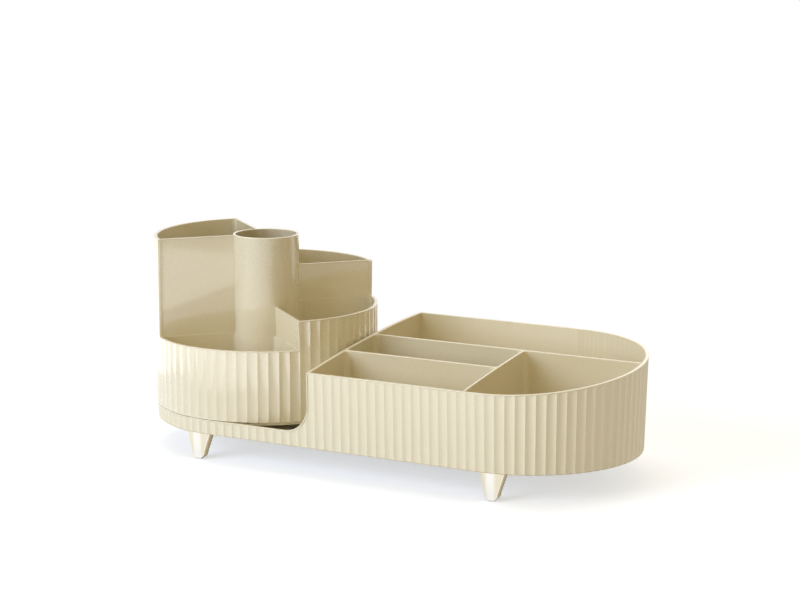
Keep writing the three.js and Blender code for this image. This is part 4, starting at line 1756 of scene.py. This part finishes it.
def foot_screws(trees: Trees, feet: Sequence[Foot], height: float,
                steel: bpy.types.Material) -> bpy.types.Object:
    """Builds the screws that hold the feet.

    Args:
        trees: The shape trees.
        feet: The four feet.
        height: Height of the heads' flat side.
        steel: Their finish.

    Returns:
        The four screws as one mesh.
    """
    xs, ys = zip(*(foot.place() for foot in feet))
    return repeated("feet_screws", trees.corners, FOOT_SCREW.build(), {
        "Span X": max(xs) - min(xs), "Span Y": max(ys) - min(ys),
        "Centre": ((max(xs) + min(xs)) / 2, (max(ys) + min(ys)) / 2, height), "Material": steel,
    })


def surface_group() -> bpy.types.NodeTree:
    """Builds the group for a moulded or plated surface.

    Faint clouding and fine speckle change the colour, and a slow ripple with fine grain lifts the surface.

    Returns:
        The group.
    """
    draw = new_tree("Moulded surface", Node.SHADE)
    given = draw.inputs([
        ("Color", "NodeSocketColor", (0.8, 0.7, 0.5, 1.0)),
        ("Deep Color", "NodeSocketColor", (0.7, 0.6, 0.4, 1.0)),
        ("Clouding", "NodeSocketFloat", 0.5), ("Speckle", "NodeSocketFloat", 0.1),
        ("Roughness", "NodeSocketFloat", 0.3), ("Roughness Change", "NodeSocketFloat", 0.06),
        ("Ripple", "NodeSocketFloat", 0.2), ("Grain", "NodeSocketFloat", 0.3),
    ])
    cloud_scale, grain_scale, ripple_scale, speck_scale, lift = 14.0, 900.0, 70.0, 520.0, 0.05 * MM
    where = draw.node("ShaderNodeTexCoord").outputs["Object"]
    cloud, fine = draw.noise(where, cloud_scale, 3.0), draw.noise(where, grain_scale, 4.0)
    ripple, speck = draw.noise(where, ripple_scale, 1.0), draw.noise(where, speck_scale, 2.0)
    amount = draw.math("MULTIPLY", draw.share(draw.math("MULTIPLY_ADD", cloud, 2.0, -0.5)), given["Clouding"])
    dots = draw.math("MULTIPLY", draw.share(draw.math("MULTIPLY_ADD", speck, 3.0, -1.0)), given["Speckle"])
    tone = draw.mix(draw.share(draw.math("ADD", amount, dots)), given["Color"], given["Deep Color"])
    change = draw.math("SUBTRACT", draw.math("ADD", fine, cloud), 1.0)
    rough = draw.math("MULTIPLY_ADD", change, given["Roughness Change"], given["Roughness"])
    bump = draw.node("ShaderNodeBump")
    draw.fill(bump, {"Strength": given["Ripple"], "Distance": lift,
                     "Height": draw.math("MULTIPLY_ADD", fine, given["Grain"], ripple)})
    draw.outputs([("Color", "NodeSocketColor", tone), ("Roughness", "NodeSocketFloat", rough),
                  ("Normal", "NodeSocketVector", bump.outputs[0])])
    return draw.tree


@dataclass(frozen=True)
class Finish:
    """A finish that uses the moulded-surface group."""

    name: str
    color: Color
    deep: Color
    roughness: float
    metallic: float = 0.0
    coat: float = 0.0
    coat_roughness: float = 0.1
    coat_ior: float = 1.5
    clouding: float = 0.4
    speckle: float = 0.3
    change: float = 0.06
    ripple: float = 0.15
    grain: float = 0.3

    def material(self, group: bpy.types.NodeTree) -> bpy.types.Material:
        """Makes the material.

        Args:
            group: The moulded-surface group.

        Returns:
            The material.
        """
        made = bpy.data.materials.new(self.name)
        draw = own_tree(made)
        surface = draw.node("ShaderNodeGroup", node_tree=group)
        draw.fill(surface, {
            "Color": (*self.color, 1.0), "Deep Color": (*self.deep, 1.0), "Clouding": self.clouding,
            "Speckle": self.speckle, "Roughness": self.roughness, "Roughness Change": self.change,
            "Ripple": self.ripple, "Grain": self.grain,
        })
        shader = draw.node("ShaderNodeBsdfPrincipled")
        draw.fill(shader, {
            "Base Color": self.base(draw, surface.outputs["Color"]), "Metallic": self.metallic,
            "Roughness": surface.outputs["Roughness"], "Normal": surface.outputs["Normal"],
            "Coat Weight": self.coat, "Coat Roughness": self.coat_roughness, "Coat IOR": self.coat_ior,
        })
        draw.node("ShaderNodeOutputMaterial", shader.outputs[0])
        return made

    def base(self, draw: Sketch, color: Socket) -> Socket:
        """Gives the base colour; a plain finish keeps the group's."""
        return color


@dataclass(frozen=True)
class GoldWithPaintedShadeFinish(Finish):
    """A plated finish that turns from pale to gold and then to dark gold towards its back, as painted highlight
    and painted shade.
    """

    # gold is partly the plating's own tone and partly painted shade; back is the dark gold of the painted shade
    gold: Color = (0.62, 0.5, 0.25)
    back: Color = (0.14, 0.095, 0.035)

    def base(self, draw: Sketch, color: Socket) -> Socket:
        """Mixes the golds in as the piece's side attribute says: gold at 0.5 and dark gold at 1; the dark gold is
        painted shade.

        Args:
            draw: The sketch of the material's tree.
            color: The group's colour.

        Returns:
            The mixed colour.
        """
        # The side attribute is the mask of painted shade and painted highlight that the foot stores
        mask = draw.node("ShaderNodeAttribute", attribute_name="side").outputs["Fac"]
        for start, tone in ((0.0, self.gold), (0.5, self.back)):
            share = draw.share(draw.math("MULTIPLY_ADD", mask, 2.0, -2.0 * start))
            color = draw.mix(share, color, (*tone, 1.0))
        return color


@dataclass(frozen=True)
class UnderEdgeShadeFinish(Finish):
    """A finish with painted shade: deeper on the rounded edge round the underside."""

    # Colour of the painted shade on the rounded edge over the underside
    edge: Color = (0.5, 0.38, 0.19)
    edge_top: float = 21.0 * MM
    fade: float = 0.4 * MM

    def base(self, draw: Sketch, color: Socket) -> Socket:
        """Mixes the deeper tone in just over the underside, but not on its flat, as painted shade.

        Args:
            draw: The sketch of the material's tree.
            color: The group's colour.

        Returns:
            The mixed colour.
        """
        place = draw.node("ShaderNodeTexCoord")
        height = draw.node("ShaderNodeSeparateXYZ", place.outputs["Object"]).outputs["Z"]
        turn = draw.node("ShaderNodeSeparateXYZ", place.outputs["Normal"]).outputs["Z"]
        low = draw.share(draw.math("DIVIDE", draw.math("SUBTRACT", self.edge_top, height), self.fade))
        upright = draw.share(draw.math("MULTIPLY_ADD", turn, 1.5, 1.5))
        return draw.mix(draw.math("MULTIPLY", low, upright), color, (*self.edge, 1.0))


# The tray's finish paints shade on the rounded edge over its underside
CREAM_TRAY = UnderEdgeShadeFinish("cream_tray", (0.80, 0.75, 0.60), (0.77, 0.69, 0.51), 0.38, coat=0.7,
                         coat_roughness=0.3)
CREAM_CADDY = Finish("cream_caddy", (0.785, 0.725, 0.57), (0.75, 0.67, 0.48), 0.28, coat=1.0,
                     coat_roughness=0.05, coat_ior=1.6)
BEARING = Finish("bearing", (0.80, 0.78, 0.72), (0.74, 0.72, 0.65), 0.45)
STEEL = Finish("steel", (0.62, 0.62, 0.63), (0.5, 0.5, 0.52), 0.25, metallic=1.0, clouding=0.8)
PLATED = GoldWithPaintedShadeFinish("foot", (0.89, 0.88, 0.83), (0.87, 0.84, 0.77), 0.08, metallic=1.0, clouding=0.5,
                      change=0.03, ripple=0.05, speckle=0.05)
RUBBER = Finish("pad", (0.13, 0.115, 0.09), (0.18, 0.16, 0.13), 0.75, clouding=0.8, change=0.1, ripple=0.4)


@dataclass(frozen=True)
class Lamp:
    """A soft lamp, with its strength in watts."""

    name: str
    at: Place
    width: float
    height: float
    power: float
    color: Color = (1.0, 1.0, 1.0)

    def light(self, aim: Place) -> bpy.types.Object:
        """Adds the lamp, which isn't itself in view.

        Args:
            aim: The place that it points at.

        Returns:
            The lamp.
        """
        data = bpy.data.lights.new(self.name, "AREA")
        data.shape = "RECTANGLE"
        data.size, data.size_y = self.width, self.height
        data.energy = self.power
        data.color = self.color
        made = link(self.name, data)
        made.location = self.at
        made.rotation_euler = (Vector(self.at) - Vector(aim)).to_track_quat("Z", "Y").to_euler()
        made.visible_camera = False
        return made


@dataclass(frozen=True)
class Card:
    """A bright card on the floor, out of view, that only shows in the gloss; 1 is white."""

    name: str
    at: Point
    width: float
    depth: float
    strength: float
    height: float = 0.002

    def lay(self) -> None:
        """Lays the card, as a lamp that faces up."""
        at, power = (*self.at, self.height), self.strength * math.pi * self.width * self.depth
        made = Lamp(self.name, at, self.width, self.depth, power).light((*self.at, 0.0))
        made.rotation_euler = (math.pi, 0.0, 0.0)
        made.visible_diffuse = False


LAMPS = (Lamp("key", (-1.2, -1.93, 0.85), 1.7, 1.4, 39.5, (0.75, 0.86, 1.0)),
         Lamp("right", (1.75, -1.35, 0.5), 2.0, 1.2, 3.0, (1.0, 0.86, 0.6)),
         Lamp("top", (-0.3, 0.2, 1.8), 1.2, 1.0, 7.0),
         Lamp("back", (0.2, 2.1, 1.1), 2.4, 1.2, 12.0, (0.92, 0.95, 1.0)))
CARDS = (Card("front_card", (-0.30, -0.80), 1.9, 1.0, 1.7), Card("left_card", (-0.85, -0.02), 0.9, 0.52, 1.3))


@dataclass
class Stage:
    """Floor, lamps, world and camera."""

    lens: float = 100.63
    sensor: float = 36.0
    camera_at: Place = (0.757516, -1.36138, 0.40242)
    azimuth: float = 28.9474
    elevation: float = 10.4951
    aim: Place = (0.0, 0.0, 0.06)
    floor_size: float = 6.0
    floor_color: Color = (0.72, 0.775, 0.94)
    floor_lift: float = 0.5
    shadow_reach: float = 0.28
    shadow_fade: float = 0.2
    fill: float = 0.47
    fill_color: Color = (1.0, 0.78, 0.36)

    def camera(self) -> None:
        """Places the camera where the photograph was taken from."""
        data = bpy.data.cameras.new("camera")
        data.lens = self.lens
        data.sensor_width = self.sensor
        data.sensor_fit = "HORIZONTAL"
        data.clip_start = 0.01
        made = link("camera", data)
        a, e = math.radians(self.azimuth), math.radians(self.elevation)
        back = Vector((math.sin(a) * math.cos(e), -math.cos(a) * math.cos(e), math.sin(e)))
        made.location = self.camera_at
        made.rotation_euler = back.to_track_quat("Z", "Y").to_euler()
        bpy.context.scene.camera = made

    def seen(self, draw: Sketch) -> Socket:
        """1 for rays that show the background: from the camera, off gloss and through glass.

        Args:
            draw: The sketch of the tree.

        Returns:
            The socket that says so.
        """
        rays = draw.node("ShaderNodeLightPath")
        gloss = draw.math("MAXIMUM", rays.outputs["Is Glossy Ray"], rays.outputs["Is Transmission Ray"])
        return draw.math("MAXIMUM", rays.outputs["Is Camera Ray"], gloss)

    def world(self) -> None:
        """Fills the room softly and shows a white background."""
        made = bpy.data.worlds.new("world")
        bpy.context.scene.world = made
        draw = own_tree(made)
        soft = draw.node("ShaderNodeBackground", (*self.fill_color, 1.0), self.fill)
        white = draw.node("ShaderNodeBackground", WHITE, 1.0)
        mix = draw.node("ShaderNodeMixShader", self.seen(draw), soft.outputs[0], white.outputs[0])
        draw.node("ShaderNodeOutputWorld", mix.outputs[0])

    def floor(self) -> None:
        """Lays a wide white floor that keeps the organizer's shadow and turns plain white further out."""
        size = self.floor_size
        mesh = bpy.data.meshes.new("floor")
        mesh.from_pydata([(-size, -size, 0), (size, -size, 0), (size, size, 0), (-size, size, 0)], [],
                         [(0, 1, 2, 3)])
        made = link("floor", mesh)
        material = bpy.data.materials.new("floor")
        draw = own_tree(material)
        base = draw.node("ShaderNodeBsdfDiffuse", (*self.floor_color, 1.0))
        seen = self.seen(draw)
        lift = draw.node("ShaderNodeEmission", WHITE, draw.math("MULTIPLY", seen, self.floor_lift))
        near = draw.node("ShaderNodeAddShader", base.outputs[0], lift.outputs[0])
        white = draw.node("ShaderNodeEmission", WHITE, 1.0)
        where = draw.node("ShaderNodeTexCoord").outputs["Object"]
        away = draw.node("ShaderNodeVectorMath", where, operation="LENGTH").outputs["Value"]
        past = draw.math("SUBTRACT", away, self.shadow_reach)
        far = draw.math("MULTIPLY", draw.share(draw.math("DIVIDE", past, self.shadow_fade)), seen)
        mix = draw.node("ShaderNodeMixShader", far, near.outputs[0], white.outputs[0])
        draw.node("ShaderNodeOutputMaterial", mix.outputs[0])
        mesh.materials.append(material)

    def build(self) -> None:
        """Builds the whole stage."""
        self.camera()
        self.floor()
        self.world()
        for lamp in LAMPS:
            lamp.light(self.aim)
        for card in CARDS:
            card.lay()
        bpy.context.scene.view_settings.view_transform = "Standard"


def main() -> None:
    """Builds the pieces in order and reports each."""
    logging.basicConfig(level=logging.INFO, format="%(name)s: %(message)s")
    Stage().build()
    group = surface_group()
    cream_tray, cream_caddy = CREAM_TRAY.material(group), CREAM_CADDY.material(group)
    bearing, steel = BEARING.material(group), STEEL.material(group)
    plated, rubber = PLATED.material(group), RUBBER.material(group)
    trees = Trees(fluted_prism_tree(), bead_tree(), pieces_tree(Layout.RING), pieces_tree(Layout.CORNERS))

    tray, race = Tray(), Race()
    left, right = tray.left_feet, tray.centre_distance + tray.right_feet
    feet = [Foot("front_left", left, -90), Foot("front_right", right, -90), Foot("rear_right", right, 90),
            Foot("rear_left", left, 90)]
    finish_piece(tray.build(trees, feet, race), "base", cream_tray, ["tray"])
    finish_piece(Caddy().build(trees, race), "caddy", cream_caddy, ["caddy"])
    race.build(trees, bearing, steel)
    Pivot().build(bearing, steel)
    for foot in feet:
        finish_piece(foot.build(), "base", plated, [f"foot_{foot.name}"])
        finish_piece(foot.pad(), "base", rubber, [f"foot_pad_{foot.name}"])
    screws = foot_screws(trees, feet, tray.floor_top - FOOT_SCREW.clearance, steel)
    finish_piece(screws, "base", steel, [f"foot_screw_{foot.name}" for foot in feet])

    finishes = {"bearing": bearing, "steel": steel, "foot": plated, "pad": rubber, "cream_tray": cream_tray,
                "cream_caddy": cream_caddy}
    slots = {part["node"]: part["material_slot"] for part in frame["record"]["subparts"]}
    for name, node in frame["nodes"].items():
        wear(node, finishes[slots[name]])
    bpy.context.view_layer.update()


if __name__ == "__main__":
    main()
